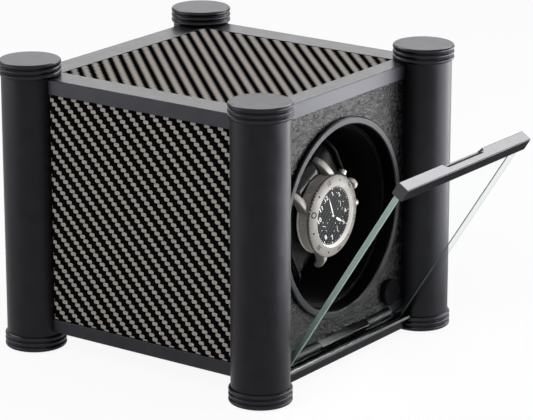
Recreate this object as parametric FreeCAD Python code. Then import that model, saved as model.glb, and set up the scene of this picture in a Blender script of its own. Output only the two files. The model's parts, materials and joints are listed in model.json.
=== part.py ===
import FreeCAD, Part
import math
import os

# Watch winder box. Millimetres, +Z up, the door faces -Y, the origin is on the floor under the middle.

V = FreeCAD.Vector
X_AXIS = V(1, 0, 0)
Y_AXIS = V(0, 1, 0)
Z_AXIS = V(0, 0, 1)

# Driving dimensions: the columns and what closes them
column_spacing = 148.5
total_height = 158.0
column_radius = 15.3
column_wall = 5.8
cap_overhang = 1.2
cap_height = 8.2
foot_height = 8.8
rib_count = 3
rib_depth = 0.9
rib_groove = 0.25
pad_inset = 3.5
pad_thickness = 1.8
pad_proud = 0.8
tie_rod_radius = 3.0
tie_rod_grip = 4.5

# Frames and panels
frame_overhang = 3.75
front_setback = 1.25
top_frame_height = 8.0
bottom_frame_lift = 2.2
bottom_frame_height = 7.5
rail_width = 21.0
rail_face = 15.6
rail_edge = 0.4
top_panel_thickness = 2.0
top_panel_sunk = 0.3
bottom_plate_thickness = 3.2
bottom_plate_sunk = 0.3
groove_depth = 2.0
side_panel_thickness = 2.5
side_panel_sunk = 1.2
back_panel_thickness = 2.6
back_panel_lap = 4.0
corner_flat = 7.0
slip = 0.1

# Front: leather on a board, and the ring round the opening
leather_sunk = 0.8
leather_thickness = 1.2
front_board_thickness = 6.0
ring_face = 4.0
ring_gap = 0.8
ring_wall = 1.7
ring_proud = 2.2
ring_spigot = 6.2
ring_edge = 0.6

# Rotor and its bearing
cup_radius = 48.9
cup_wall = 2.4
cup_floor = 4.0
cup_rim_sunk = 7.4
cup_depth = 59.0
spindle_radius = 5.0
flange_radius = 15.0
flange_thickness = 3.0
running_gap = 0.03
thrust_gap = 0.3
bush_wall = 3.0
bush_length = 9.5
bush_flange = 1.2
bush_flange_lip = 2.0
housing_length = 36.0
housing_wall = 4.0
housing_flange_radius = 22.0
housing_flange_thickness = 4.0
drive_plate_thickness = 3.0
drive_plate_half = 46.0
drive_plate_rise = 39.0
drive_foot_depth = 20.0

# Gears and motor
gear_module = 1.0
gear_teeth = 60
pinion_teeth = 12
gear_width = 7.0
pinion_width = 6.0
centre_slack = 0.25
tooth_share = 0.34
gear_hub_wall = 4.0
gear_hole_count = 6
gear_hole_radius = 4.5
gear_rim = 2.5
root_depth = 1.25
root_share = 0.85
tip_share = 0.25
clip_thickness = 0.8
clip_reach = 2.5
clip_groove = 0.6
clip_mouth_half = 3.1
spindle_tail = 1.5
motor_radius = 12.5
motor_length = 26.0
gearbox_length = 15.6
motor_can_step = 1.0
motor_shaft_room = 1.0
motor_shaft_end_gap = 0.5
motor_shaft_radius = 2.0
motor_shaft_grip = 6.0
motor_screw_circle = 8.5
motor_screw_grip = 4.5
motor_screw_depth = 5.0
tab_place = 5.0
tab_width = 2.4
tab_thickness = 0.8
tab_length = 3.0

# Cushion, its cradle and the watch on it
watch_turn = 30.0
cushion_half_length = 30.5
cushion_half_height = 28.0
cushion_depth = 40.6
cushion_corner = 12.0
cradle_base = 2.5
cradle_arm = 2.4
cradle_arm_reach = 24.0
cradle_half_width = 15.0
soft_gap = 0.3
strap_thickness = 2.4
strap_half_width = 10.8
strap_room = 1.0
case_radius = 21.2
case_thickness = 7.0
bezel_radius = 22.3
bezel_thickness = 3.6
lug_reach = 26.6
lug_width = 3.8
lug_gap = 0.3
lug_thickness = 6.0
lug_rise = 1.0
crown_radius = 3.4
crown_length = 4.8
crown_rise = 2.5
crown_root = 1.0
button_radius = 2.2
button_angle = 28.0
crystal_radius = 17.8
crystal_thickness = 1.2
crystal_proud = 0.5

# Door: sizes are taken from the hinge axis, outwards and upwards with the door shut
door_open = 32.7
hinge_out = 0.4
hinge_rise = 3.6
door_side_gap = 1.85
handle_side_gap = 0.85
door_top_gap = 3.5
glass_thickness = 3.3
glass_out = 2.7
glass_low = -6.4
door_slip = 0.1
bar_in = 1.4
bar_lip = 2.05
bar_low = -9.0
bar_high = -0.3
bar_chamfer = 0.9
handle_height = 7.4
handle_cover = 2.7
handle_round = 0.5
notch_half = 15.5
notch_radius = 3.4
notch_in = 0.2
notch_over = 1.1
knuckle_half = 22.0
knuckle_flat = 1.7
knuckle_gap = 0.4
web_in = 0.3
web_low = -3.2
barrel_length = 22.0
barrel_floor = 1.5
barrel_foot_rise = 1.2
hinge_screw_radius = 0.8
hinge_screw_bite = 1.4
hinge_screw_pitch = 11.0
pin_radius = 1.0
pin_gap = 0.05
bumper_radius = 1.2
bumper_inset = 12.85
bumper_drop = 1.5
magnet_radius = 3.0
magnet_length = 3.0
grub_radius = 1.5
grub_length = 2.4
grub_pitch = 39.9
rail_chamfer = 3.0
rail_notch_depth = 2.6
inner_lip_low = -2.5

# Selector and electrics
knob_inset = 13.35
knob_rise = 7.5
knob_radius = 7.25
knob_length = 2.7
knob_lift = 0.3
knob_dome = 1.0
knob_shaft_radius = 3.0
switch_radius = 7.2
switch_length = 9.0
switch_bush_radius = 4.5
board_half_length = 32.0
board_half_width = 8.2
board_thickness = 1.6
board_lift = 6.0
board_from_back = 25.5
standoff_radius = 2.6
standoff_inset = 2.8
inlet_inset = 16.85
inlet_rise = 15.5
inlet_thread_radius = 5.5
inlet_body_half = 6.5
inlet_body_length = 11.0
inlet_bore_radius = 2.8
inlet_bore_depth = 9.0
inlet_pin_radius = 1.05
inlet_pin_length = 7.5
inlet_nut_radius = 8.5
inlet_nut_thickness = 2.2
inlet_proud = 3.4
wire_radius = 0.9
wire_bend = 4.0
plug_height = 5.0
plug_half = 3.0
plug_offset = 4.0
plug_places = (-22.0, -13.0, 22.5)
chip_half_length = 6.0
chip_half_width = 5.0
chip_height = 2.0
capacitor_place = 14.5
capacitor_radius = 4.0
capacitor_height = 9.0

# Fasteners
screw_radius = 1.5
screw_head_radius = 2.75
screw_head_height = 1.8
thread_gap = 0.02
corner_screw_radius = 1.25
corner_head_radius = 1.9
corner_head_height = 2.0
corner_screw_bite = 4.0
corner_screw_margin = 1.0
back_screw_grip = 8.0

# Places worked out from the driving dimensions
column_at = column_spacing / 2
column_bore = column_radius - column_wall
cap_radius = column_radius + cap_overhang
pad_radius = cap_radius - pad_inset
frame_half = column_at + frame_overhang
front_plane = column_at - front_setback
ledge_half = frame_half - rail_width
panel_half = frame_half - rail_face
cap_base = total_height - cap_height
top_frame_base = cap_base - top_frame_height
bottom_frame_base = foot_height + bottom_frame_lift
bottom_frame_top = bottom_frame_base + bottom_frame_height
plate_top = bottom_frame_top - bottom_plate_sunk
plate_base = plate_top - bottom_plate_thickness
leather_front = -front_plane + leather_sunk
board_front = leather_front + leather_thickness
board_back = board_front + front_board_thickness
front_half = column_at - column_radius - slip
side_half = front_half - slip
axis_height = total_height / 2
ring_bore = cup_radius + ring_gap
ring_outer = ring_bore + ring_face
ring_front = leather_front - ring_proud
cup_front = ring_front + cup_rim_sunk
cup_back = cup_front + cup_depth
cup_floor_front = cup_back - cup_floor
flange_back = cup_back + flange_thickness
bush_front = flange_back + thrust_gap + bush_flange
bush_radius = spindle_radius + running_gap + bush_wall
bush_flange_radius = bush_radius + bush_flange_lip
housing_radius = bush_radius + housing_wall
clip_radius = spindle_radius + clip_reach
gear_hub_radius = spindle_radius + gear_hub_wall
drive_plate_back = bush_front + housing_length
drive_plate_front = drive_plate_back - drive_plate_thickness
drive_plate_top = axis_height + drive_plate_rise
bush_back = drive_plate_back + bush_flange
gear_front = bush_back + thrust_gap
gear_back = gear_front + gear_width
gear_pitch = gear_module * gear_teeth / 2
pinion_pitch = gear_module * pinion_teeth / 2
motor_axis_height = axis_height - gear_pitch - pinion_pitch - centre_slack
cradle_front = cup_floor_front - cradle_base
cushion_back = cradle_front - strap_thickness - 2 * soft_gap
cushion_front = cushion_back - cushion_depth
case_back = cushion_front - soft_gap
case_front = case_back - case_thickness
bezel_front = case_front - bezel_thickness
hinge_y = -front_plane - hinge_out
hinge_z = bottom_frame_base + hinge_rise
glass_outer = glass_out + glass_thickness
bar_out = glass_outer + bar_lip
bar_half = front_half - door_side_gap
handle_half = front_half - handle_side_gap
handle_high = cap_base - door_top_gap - hinge_z
handle_low = handle_high - handle_height
glass_high = handle_high - handle_cover
bumper_place = front_half - bumper_inset
bumper_height = top_frame_base - bumper_drop
barrel_radius = glass_out - thrust_gap
knuckle_radius = barrel_radius - slip
knob_place = front_half - knob_inset
knob_height = bottom_frame_top + knob_rise
board_centre = frame_half - board_from_back
inlet_place = inlet_inset - front_half
inlet_height = bottom_frame_top + inlet_rise


def box(x0, x1, y0, y1, z0, z1):
    """A box between two corners."""
    return Part.makeBox(x1 - x0, y1 - y0, z1 - z0, V(x0, y0, z0))


def rod(start, direction, radius, length):
    """A round bar from a point along a direction."""
    return Part.makeCylinder(radius, length, V(*start), direction)


def y_rod(x, z, radius, y0, y1):
    """A round bar along Y."""
    return rod((x, y0, z), Y_AXIS, radius, y1 - y0)


def x_rod(y, z, radius, x0, x1):
    """A round bar along X."""
    return rod((x0, y, z), X_AXIS, radius, x1 - x0)


def z_rod(x, y, radius, z0, z1):
    """A round bar along Z."""
    return rod((x, y, z0), Z_AXIS, radius, z1 - z0)


def prism(points, start, along):
    """A straight-sided outline carried along a vector."""
    places = [V(*point) + V(*start) for point in points]
    return Part.Face(Part.makePolygon(places + places[:1])).extrude(V(*along))


def whole(pieces):
    """Several solids as one group."""
    return Part.makeCompound(pieces)


def joined(pieces):
    """Several solids made into one."""
    return pieces[0].multiFuse(pieces[1:]).removeSplitter()


def save(name, shape):
    """Writes one piece to its own file."""
    shape.exportStep("parts/" + name + ".step")


def corners():
    """The four column places with their names."""
    for depth, sy in (("front", -1), ("rear", 1)):
        for side, sx in (("left", -1), ("right", 1)):
            yield depth + "_" + side, sx, sy


def ribbed_disc(base, height):
    """A turned disc with rounded ribs round its rim, standing at a height."""
    waist = cap_radius - rib_depth
    rib = (height - rib_groove * (rib_count - 1)) / rib_count
    edges = [Part.LineSegment(V(0, 0, base), V(waist, 0, base)).toShape()]
    level = base
    for number in range(rib_count):
        low = V(waist, 0, level)
        high = V(waist, 0, level + rib)
        bulge = V(cap_radius, 0, level + rib / 2)
        edges.append(Part.Arc(low, bulge, high).toShape())
        level += rib
        if number < rib_count - 1:
            edges.append(Part.LineSegment(high, high + V(0, 0, rib_groove)).toShape())
            level += rib_groove
    edges.append(Part.LineSegment(V(waist, 0, base + height), V(0, 0, base + height)).toShape())
    edges.append(Part.LineSegment(V(0, 0, base + height), V(0, 0, base)).toShape())
    return Part.Face(Part.Wire(edges)).revolve(V(0, 0, 0), Z_AXIS, 360)


def make_columns():
    """Columns, their caps and feet, the pads under them and the rods that tie them."""
    rods = []
    pads = []
    rod_low = foot_height - tie_rod_grip
    rod_high = cap_base + tie_rod_grip
    for name, sx, sy in corners():
        place = V(sx * column_at, sy * column_at, 0)
        column = z_rod(0, 0, column_radius, foot_height, cap_base)
        column = column.cut(z_rod(0, 0, column_bore, foot_height, cap_base))
        column.translate(place)
        for level in corner_screw_levels():
            column = column.cut(corner_bar(sx, sy, level, corner_screw_radius + thread_gap))
        save("column_" + name, column)
        bore = z_rod(0, 0, tie_rod_radius + thread_gap, rod_low, rod_high)
        cap = ribbed_disc(cap_base, cap_height).cut(bore)
        cap.translate(place)
        save("cap_" + name, cap)
        foot = ribbed_disc(pad_proud, foot_height - pad_proud).cut(bore)
        foot = foot.cut(z_rod(0, 0, pad_radius + slip, 0, pad_thickness))
        foot.translate(place)
        save("foot_" + name, foot)
        pad = z_rod(0, 0, pad_radius, 0, pad_thickness)
        pad.translate(place)
        pads.append(pad)
        tie = z_rod(0, 0, tie_rod_radius, rod_low, rod_high)
        tie.translate(place)
        rods.append(tie)
    save("tie_rods", whole(rods))
    save("foot_pads", whole(pads))


def corner_screw_levels():
    """Heights of the screws that hold the frames to the columns."""
    low = (bottom_frame_base + plate_base) / 2
    high = top_frame_base + corner_head_radius + corner_screw_margin
    return low, high


def corner_seat():
    """Distance from the middle of the case, along a diagonal, to the flat under the screw heads."""
    return (2 * ledge_half - corner_flat) / math.sqrt(2)


def corner_bar(sx, sy, level, radius):
    """The shank of a corner screw, pointing from the frame's inner corner into the column."""
    outward = V(sx, sy, 0)
    outward.normalize()
    start = outward * corner_seat()
    reach = column_at * math.sqrt(2) - column_radius + corner_screw_bite - corner_seat()
    return rod((start.x, start.y, level), outward, radius, reach)


def make_corner_screws():
    """Screws from the frames' inner corners into the columns."""
    screws = []
    for _, sx, sy in corners():
        for level in corner_screw_levels():
            outward = V(sx, sy, 0)
            outward.normalize()
            start = outward * (corner_seat() - corner_head_height)
            head = rod((start.x, start.y, level), outward, corner_head_radius, corner_head_height)
            screws.append(joined([corner_bar(sx, sy, level, corner_screw_radius), head]))
    save("corner_screws", whole(screws))


def frame_blank(base, height):
    """A square rail frame, open in the middle and hollowed at its corners for the columns."""
    frame = box(-frame_half, frame_half, -front_plane, frame_half, base, base + height)
    half = ledge_half
    cut = corner_flat
    outline = []
    for sx, sy in ((1, -1), (1, 1), (-1, 1), (-1, -1)):
        near = (sx * half, sy * (half - cut), base)
        far = (sx * (half - cut), sy * half, base)
        outline += [near, far] if sx == sy else [far, near]
    frame = frame.cut(prism(outline, (0, 0, 0), (0, 0, height)))
    for _, sx, sy in corners():
        hollow = z_rod(sx * column_at, sy * column_at, column_radius + slip, base, base + height)
        frame = frame.cut(hollow)
    return frame


def eased(frame, levels, faces):
    """A frame with its long outer edges chamfered: at these heights, on both sides and on these Y faces."""
    chosen = []
    for edge in frame.Edges:
        middle = edge.CenterOfMass
        at_level = any(abs(middle.z - level) < slip for level in levels)
        at_side = abs(abs(middle.x) - frame_half) < slip
        at_face = any(abs(middle.y - face) < slip for face in faces)
        if at_level and (at_side or at_face) and edge.BoundBox.ZLength < slip:
            chosen.append(edge)
    return frame.makeChamfer(rail_edge, chosen)


def panel_slots(low, high):
    """Room in a frame for the edges of the side panels, the front board and the back panel."""
    outer = frame_half - side_panel_sunk + slip
    inner = frame_half - side_panel_sunk - side_panel_thickness - slip
    reach = side_half + slip
    slots = [box(-outer, -inner, -reach, reach, low, high)]
    slots.append(box(inner, outer, -reach, reach, low, high))
    reach = front_half + slip
    slots.append(box(-reach, reach, leather_front - slip, board_back + slip, low, high))
    return slots


def make_frames():
    """The top and bottom rail frames."""
    top = frame_blank(top_frame_base, top_frame_height)
    recess = cap_base - top_panel_thickness - top_panel_sunk
    top = eased(top, (cap_base,), (-front_plane, frame_half))
    top = top.cut(box(-panel_half, panel_half, -panel_half, panel_half, recess, cap_base))
    for slot in panel_slots(top_frame_base, top_frame_base + groove_depth):
        top = top.cut(slot)
    bottom = frame_blank(bottom_frame_base, bottom_frame_height)
    bottom = eased(bottom, (bottom_frame_base, bottom_frame_top), ())
    plate_room = box(-panel_half, panel_half, -panel_half, panel_half, plate_base, bottom_frame_top)
    bottom = bottom.cut(plate_room)
    for slot in panel_slots(bottom_frame_top - groove_depth, bottom_frame_top):
        bottom = bottom.cut(slot)
    lap_front = frame_half - back_panel_thickness
    lap_low = bottom_frame_top - back_panel_lap
    lap_high = top_frame_base + back_panel_lap
    lap = box(-front_half - slip, front_half + slip, lap_front, frame_half, lap_low - slip, lap_high + slip)
    top = top.cut(lap)
    bottom = bottom.cut(lap)
    slope = [(0, -front_plane, bottom_frame_base), (0, -front_plane, bottom_frame_base + rail_chamfer),
             (0, -front_plane + rail_chamfer, bottom_frame_base)]
    bottom = bottom.cut(prism(slope, (-frame_half, 0, 0), (2 * frame_half, 0, 0)))
    notch_reach = knuckle_half + 2 * knuckle_gap + barrel_length
    notch = box(-notch_reach, notch_reach, -front_plane, -front_plane + rail_notch_depth,
                bottom_frame_base, bottom_frame_top)
    bottom = bottom.cut(notch)
    low, high = corner_screw_levels()
    for _, sx, sy in corners():
        top = top.cut(corner_bar(sx, sy, high, corner_screw_radius + thread_gap))
        bottom = bottom.cut(corner_bar(sx, sy, low, corner_screw_radius + thread_gap))
    for x, z in back_screw_places():
        hole = y_rod(x, z, screw_radius + thread_gap, lap_front - back_screw_grip, lap_front)
        top = top.cut(hole)
        bottom = bottom.cut(hole)
    for x, z in hinge_screw_places():
        bottom = bottom.cut(hinge_screw(x, z, thread_gap))
    for x, y in plate_screw_places():
        hole = z_rod(x, y, screw_radius + thread_gap, bottom_frame_base, plate_base)
        bottom = bottom.cut(hole)
    save("top_frame", top)
    save("bottom_frame", bottom)


def back_screw_places():
    """Corners of the back panel, where its screws go into the frames."""
    inset = back_panel_lap / 2
    for sx in (-1, 1):
        for z in (bottom_frame_top - inset, top_frame_base + inset):
            yield sx * (front_half - 3 * screw_head_radius), z


def plate_screw_places():
    """Places of the screws that hold the bottom plate to the frame's ledge."""
    middle = (ledge_half + panel_half) / 2
    return [(middle, 0), (-middle, 0), (0, middle), (0, -middle)]


def pan_screw(x, y, z, direction, length):
    """A pan-head screw: the head stands on the given point and the shank runs along the direction."""
    way = V(*direction)
    head_start = V(x, y, z) - way * screw_head_height
    head = rod((head_start.x, head_start.y, head_start.z), way, screw_head_radius, screw_head_height)
    return joined([head, rod((x, y, z), way, screw_radius, length)])


def make_panels():
    """Carbon top and sides, the back panel and the bottom plate."""
    half = panel_half - slip
    base = cap_base - top_panel_sunk - top_panel_thickness
    top = box(-half, half, -half, half, base, base + top_panel_thickness)
    for _, sx, sy in corners():
        top = top.cut(z_rod(sx * column_at, sy * column_at, cap_radius + slip, base, cap_base))
    save("top_panel", top)
    low = bottom_frame_top - groove_depth + slip
    high = top_frame_base + groove_depth - slip
    outer = frame_half - side_panel_sunk
    inner = outer - side_panel_thickness
    save("side_panel_left", box(-outer, -inner, -side_half, side_half, low, high))
    save("side_panel_right", box(inner, outer, -side_half, side_half, low, high))
    back_low = bottom_frame_top - back_panel_lap
    back_high = top_frame_base + back_panel_lap
    back_front = frame_half - back_panel_thickness
    back = box(-front_half, front_half, back_front, frame_half, back_low, back_high)
    back = back.cut(y_rod(inlet_place, inlet_height, inlet_thread_radius + slip, back_front, frame_half))
    screws = []
    for x, z in back_screw_places():
        back = back.cut(y_rod(x, z, screw_radius + slip, back_front, frame_half))
        screws.append(pan_screw(x, frame_half, z, (0, -1, 0), back_panel_thickness + back_screw_grip))
    save("back_panel", back)
    save("back_panel_screws", whole(screws))
    plate = box(-half, half, -half, half, plate_base, plate_top)
    for x, y in list(plate_screw_places()) + list(drive_foot_places()) + list(standoff_places()):
        plate = plate.cut(z_rod(x, y, screw_radius + thread_gap, plate_base, plate_top))
    for _, sx, sy in corners():
        room = column_radius + slip
        plate = plate.cut(z_rod(sx * column_at, sy * column_at, room, plate_base, plate_top))
    save("bottom_plate", plate)


def make_front():
    """Board, leather and ring at the front."""
    low = bottom_frame_top - groove_depth + slip
    high = top_frame_base + groove_depth - slip
    opening = ring_bore + ring_wall + slip
    board = box(-front_half, front_half, board_front, board_back, low, high)
    board = board.cut(y_rod(0, axis_height, opening, board_front, board_back))
    board = board.cut(y_rod(knob_place, knob_height, switch_bush_radius + slip, board_front, board_back))
    magnets = []
    for sx in (-1, 1):
        spot = (sx * bumper_place, bumper_height)
        pocket = y_rod(*spot, magnet_radius + slip, board_front, board_front + magnet_length + slip)
        board = board.cut(pocket)
        magnets.append(y_rod(*spot, magnet_radius, board_front, board_front + magnet_length))
    save("front_board", board)
    save("catch_magnets", whole(magnets))
    leather = box(-front_half, front_half, leather_front, board_front, low, high)
    leather = leather.cut(y_rod(0, axis_height, opening, leather_front, board_front))
    bush_room = switch_bush_radius + slip
    leather = leather.cut(y_rod(knob_place, knob_height, bush_room, leather_front, board_front))
    save("front_leather", leather)
    spigot_radius = ring_bore + ring_wall
    ring = y_rod(0, axis_height, ring_outer, ring_front, leather_front)
    ring = ring.fuse(y_rod(0, axis_height, spigot_radius, leather_front, leather_front + ring_spigot))
    ring = ring.cut(y_rod(0, axis_height, ring_bore, ring_front, leather_front + ring_spigot))
    ring = ring.removeSplitter()
    front_edges = [edge for edge in ring.Edges if edge.BoundBox.YMax < ring_front + slip]
    front_edges = [edge for edge in front_edges if edge.BoundBox.ZLength > ring_bore]
    ring = ring.makeChamfer(ring_edge, front_edges)
    save("bezel_ring", ring)


def drive_foot_places():
    """Places of the screws through the foot of the drive plate."""
    y = drive_plate_front - drive_foot_depth / 2
    return [(sx * (drive_plate_half - 3 * screw_head_radius), y) for sx in (-1, 1)]


def housing_screw_places():
    """Places of the screws through the flange of the bearing housing."""
    circle = (housing_radius + housing_flange_radius) / 2
    for step in range(4):
        angle = math.radians(45 + 90 * step)
        yield circle * math.cos(angle), axis_height + circle * math.sin(angle)


def make_drive():
    """The plate that carries the drive, the bearing housing and its bushes."""
    plate = box(-drive_plate_half, drive_plate_half, drive_plate_front, drive_plate_back,
                plate_top, drive_plate_top)
    foot = box(-drive_plate_half, drive_plate_half, drive_plate_front - drive_foot_depth, drive_plate_front,
               plate_top, plate_top + drive_plate_thickness)
    plate = joined([plate, foot])
    plate = plate.cut(y_rod(0, axis_height, housing_radius + slip, drive_plate_front, drive_plate_back))
    shaft_room = motor_shaft_radius + motor_shaft_room
    plate = plate.cut(y_rod(0, motor_axis_height, shaft_room, drive_plate_front, drive_plate_back))
    screw_room = screw_radius + thread_gap
    for x, y in drive_foot_places():
        plate = plate.cut(z_rod(x, y, screw_room, plate_top, plate_top + drive_plate_thickness))
    for x, z in list(housing_screw_places()) + list(motor_screw_places()):
        plate = plate.cut(y_rod(x, z, screw_room, drive_plate_front, drive_plate_back))
    save("drive_plate", plate)
    housing = y_rod(0, axis_height, housing_radius, bush_front, drive_plate_back)
    flange_front = drive_plate_front - housing_flange_thickness
    housing = housing.fuse(y_rod(0, axis_height, housing_flange_radius, flange_front, drive_plate_front))
    housing = housing.cut(y_rod(0, axis_height, bush_radius, bush_front, drive_plate_back)).removeSplitter()
    for x, z in housing_screw_places():
        housing = housing.cut(y_rod(x, z, screw_room, flange_front, drive_plate_front))
    save("bearing_housing", housing)
    front = y_rod(0, axis_height, bush_radius, bush_front, bush_front + bush_length)
    front = front.fuse(y_rod(0, axis_height, bush_flange_radius, bush_front - bush_flange, bush_front))
    rear = y_rod(0, axis_height, bush_radius, drive_plate_back - bush_length, drive_plate_back)
    rear = rear.fuse(y_rod(0, axis_height, bush_flange_radius, drive_plate_back, bush_back))
    bore = y_rod(0, axis_height, spindle_radius + running_gap, bush_front - bush_flange, bush_back)
    bushes = [bush.cut(bore).removeSplitter() for bush in (front, rear)]
    save("spindle_bushes", whole(bushes))


def tooth_outline(teeth, y):
    """The outline of a toothed wheel: each tooth has a flat tip and straight flanks."""
    pitch_radius = gear_module * teeth / 2
    root = pitch_radius - root_depth * gear_module
    tip = pitch_radius + gear_module
    step = 2 * math.pi / teeth
    tip_half = tooth_share * step * tip_share * pitch_radius / tip
    root_half = tooth_share * step * root_share * pitch_radius / root
    points = []
    for number in range(teeth):
        middle = number * step
        for angle, radius in ((-root_half, root), (-tip_half, tip), (tip_half, tip), (root_half, root)):
            points.append((radius * math.cos(middle + angle), y, radius * math.sin(middle + angle)))
    return points


def make_gears():
    """The wheel on the spindle and the pinion on the motor."""
    wheel = prism(tooth_outline(gear_teeth, gear_front), (0, 0, axis_height), (0, gear_width, 0))
    wheel = wheel.cut(y_rod(0, axis_height, spindle_radius, gear_front, gear_back))
    lighten = (gear_hub_radius + gear_pitch - gear_rim) / 2
    for step in range(gear_hole_count):
        angle = 2 * math.pi * step / gear_hole_count
        hole = y_rod(lighten * math.cos(angle), axis_height + lighten * math.sin(angle),
                     gear_hole_radius, gear_front, gear_back)
        wheel = wheel.cut(hole)
    save("driven_gear", wheel)
    pinion_front = gear_front + (gear_width - pinion_width) / 2
    pinion = prism(tooth_outline(pinion_teeth, pinion_front), (0, 0, 0), (0, pinion_width, 0))
    pinion.rotate(V(0, 0, 0), Y_AXIS, pinion_phase())
    pinion.translate(V(0, 0, motor_axis_height))
    shaft = y_rod(0, motor_axis_height, motor_shaft_radius, drive_plate_front - motor_shaft_grip, gear_back)
    save("motor_pinion", joined([pinion, shaft]))


def pinion_phase():
    """The turn that puts a gap of the pinion, at its top, over the tooth at the bottom of the wheel."""
    top_tooth = round(pinion_teeth / 4)
    lean = 90 - (top_tooth + 0.5) * 360 / pinion_teeth
    return -lean


def motor_screw_places():
    """Places of the motor's screws."""
    return [(sx * motor_screw_circle, motor_axis_height) for sx in (-1, 1)]


def make_motor():
    """The gear motor: a round can with a smaller end boss and two terminals."""
    back = drive_plate_front
    front = back - motor_length
    body = y_rod(0, motor_axis_height, motor_radius, back - gearbox_length, back)
    can = y_rod(0, motor_axis_height, motor_radius - motor_can_step, front, back - gearbox_length)
    pieces = [body, can]
    for middle in (-tab_place, tab_place):
        tab = box(middle - tab_width / 2, middle + tab_width / 2, front - tab_length, front,
                  motor_axis_height - tab_thickness / 2, motor_axis_height + tab_thickness / 2)
        pieces.append(tab)
    motor = joined(pieces)
    shaft_end = back - motor_shaft_grip - motor_shaft_end_gap
    motor = motor.cut(y_rod(0, motor_axis_height, motor_shaft_radius + pin_gap, shaft_end, back))
    for x, z in motor_screw_places():
        motor = motor.cut(y_rod(x, z, screw_radius + thread_gap, back - motor_screw_depth, back))
    save("gear_motor", motor)


def make_machine_screws():
    """All the pan-head screws of the drive, the control board and the bottom plate."""
    screws = []
    for x, z in housing_screw_places():
        screws.append(pan_screw(x, drive_plate_front - housing_flange_thickness, z, (0, 1, 0),
                                housing_flange_thickness + drive_plate_thickness))
    motor_screw_length = drive_plate_thickness + motor_screw_grip
    for x, z in motor_screw_places():
        screws.append(pan_screw(x, drive_plate_back, z, (0, -1, 0), motor_screw_length))
    for x, y in drive_foot_places():
        screws.append(pan_screw(x, y, plate_top + drive_plate_thickness, (0, 0, -1),
                                drive_plate_thickness + bottom_plate_thickness))
    for x, y in standoff_places():
        screws.append(pan_screw(x, y, plate_top + board_lift + board_thickness, (0, 0, -1),
                                board_thickness + board_lift + bottom_plate_thickness))
    for x, y in plate_screw_places():
        screws.append(pan_screw(x, y, bottom_frame_base, (0, 0, 1), plate_top - bottom_frame_base))
    save("machine_screws", whole(screws))


def make_spindle():
    """The spindle with its flange, and the clip that keeps the wheel on it."""
    groove_front = gear_back
    end = groove_front + clip_thickness + spindle_tail
    spindle = y_rod(0, axis_height, spindle_radius, cup_back, end)
    spindle = spindle.fuse(y_rod(0, axis_height, flange_radius, cup_back, flange_back)).removeSplitter()
    neck = spindle_radius - clip_groove
    groove = y_rod(0, axis_height, spindle_radius, groove_front, groove_front + clip_thickness)
    groove = groove.cut(y_rod(0, axis_height, neck, groove_front, groove_front + clip_thickness))
    spindle = spindle.cut(groove)
    for x, z in rotor_screw_places():
        spindle = spindle.cut(y_rod(x, z, screw_radius + thread_gap, cup_back, flange_back))
    save("rotor_spindle", spindle)
    clip = y_rod(0, axis_height, clip_radius, groove_front, groove_front + clip_thickness)
    clip = clip.cut(y_rod(0, axis_height, neck + thread_gap, groove_front, groove_front + clip_thickness))
    mouth = box(-clip_mouth_half, clip_mouth_half, groove_front, groove_front + clip_thickness,
                axis_height, axis_height + clip_radius)
    save("spindle_clip", clip.cut(mouth))


def rotor_screw_places():
    """Places of the screws that hold the cup to the spindle's flange."""
    circle = (spindle_radius + flange_radius) / 2
    for step in range(3):
        angle = math.radians(90 + 120 * step)
        yield circle * math.cos(angle), axis_height + circle * math.sin(angle)


def make_cup():
    """The rotor cup and the screws in its floor."""
    cup = y_rod(0, axis_height, cup_radius, cup_front, cup_back)
    cup = cup.cut(y_rod(0, axis_height, cup_radius - cup_wall, cup_front, cup_floor_front))
    screws = []
    for x, z in rotor_screw_places():
        cup = cup.cut(y_rod(x, z, screw_radius + thread_gap, cup_floor_front, cup_back))
        sink = cup_floor_front + screw_head_height
        cup = cup.cut(y_rod(x, z, screw_head_radius + slip, cup_floor_front, sink))
        screws.append(pan_screw(x, sink, z, (0, 1, 0), flange_back - sink))
    save("rotor_cup", cup)
    save("rotor_screws", whole(screws))


def turned(shape):
    """Turns a piece that is drawn upright on the rotor axis to the watch's own angle."""
    shape.rotate(V(0, 0, axis_height), Y_AXIS, -watch_turn)
    return shape


def pillow_outline(grow):
    """The cushion's rounded section in the plane of Y and Z, grown by a margin, as a face at x = 0."""
    y0 = cushion_front - grow
    y1 = cushion_back + grow
    z0 = axis_height - cushion_half_height - grow
    z1 = axis_height + cushion_half_height + grow
    radius = cushion_corner + grow
    bend = radius * (1 - math.sqrt(0.5))
    edges = []
    corner_list = [(y0, z0, 1, 1), (y0, z1, 1, -1), (y1, z1, -1, -1), (y1, z0, -1, 1)]
    stops = []
    for y, z, dy, dz in corner_list:
        up = V(0, y, z + dz * radius)
        across = V(0, y + dy * radius, z)
        middle = V(0, y + dy * bend, z + dz * bend)
        stops.append((up, middle, across) if dy * dz < 0 else (across, middle, up))
    for number, (start, middle, end) in enumerate(stops):
        edges.append(Part.Arc(start, middle, end).toShape())
        following = stops[(number + 1) % 4][0]
        edges.append(Part.LineSegment(end, following).toShape())
    return Part.Face(Part.Wire(edges))


def pillow_block(half, grow):
    """The cushion's section carried along the X axis to both sides."""
    face = pillow_outline(grow)
    face.translate(V(-half, 0, 0))
    return face.extrude(V(2 * half, 0, 0))


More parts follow.
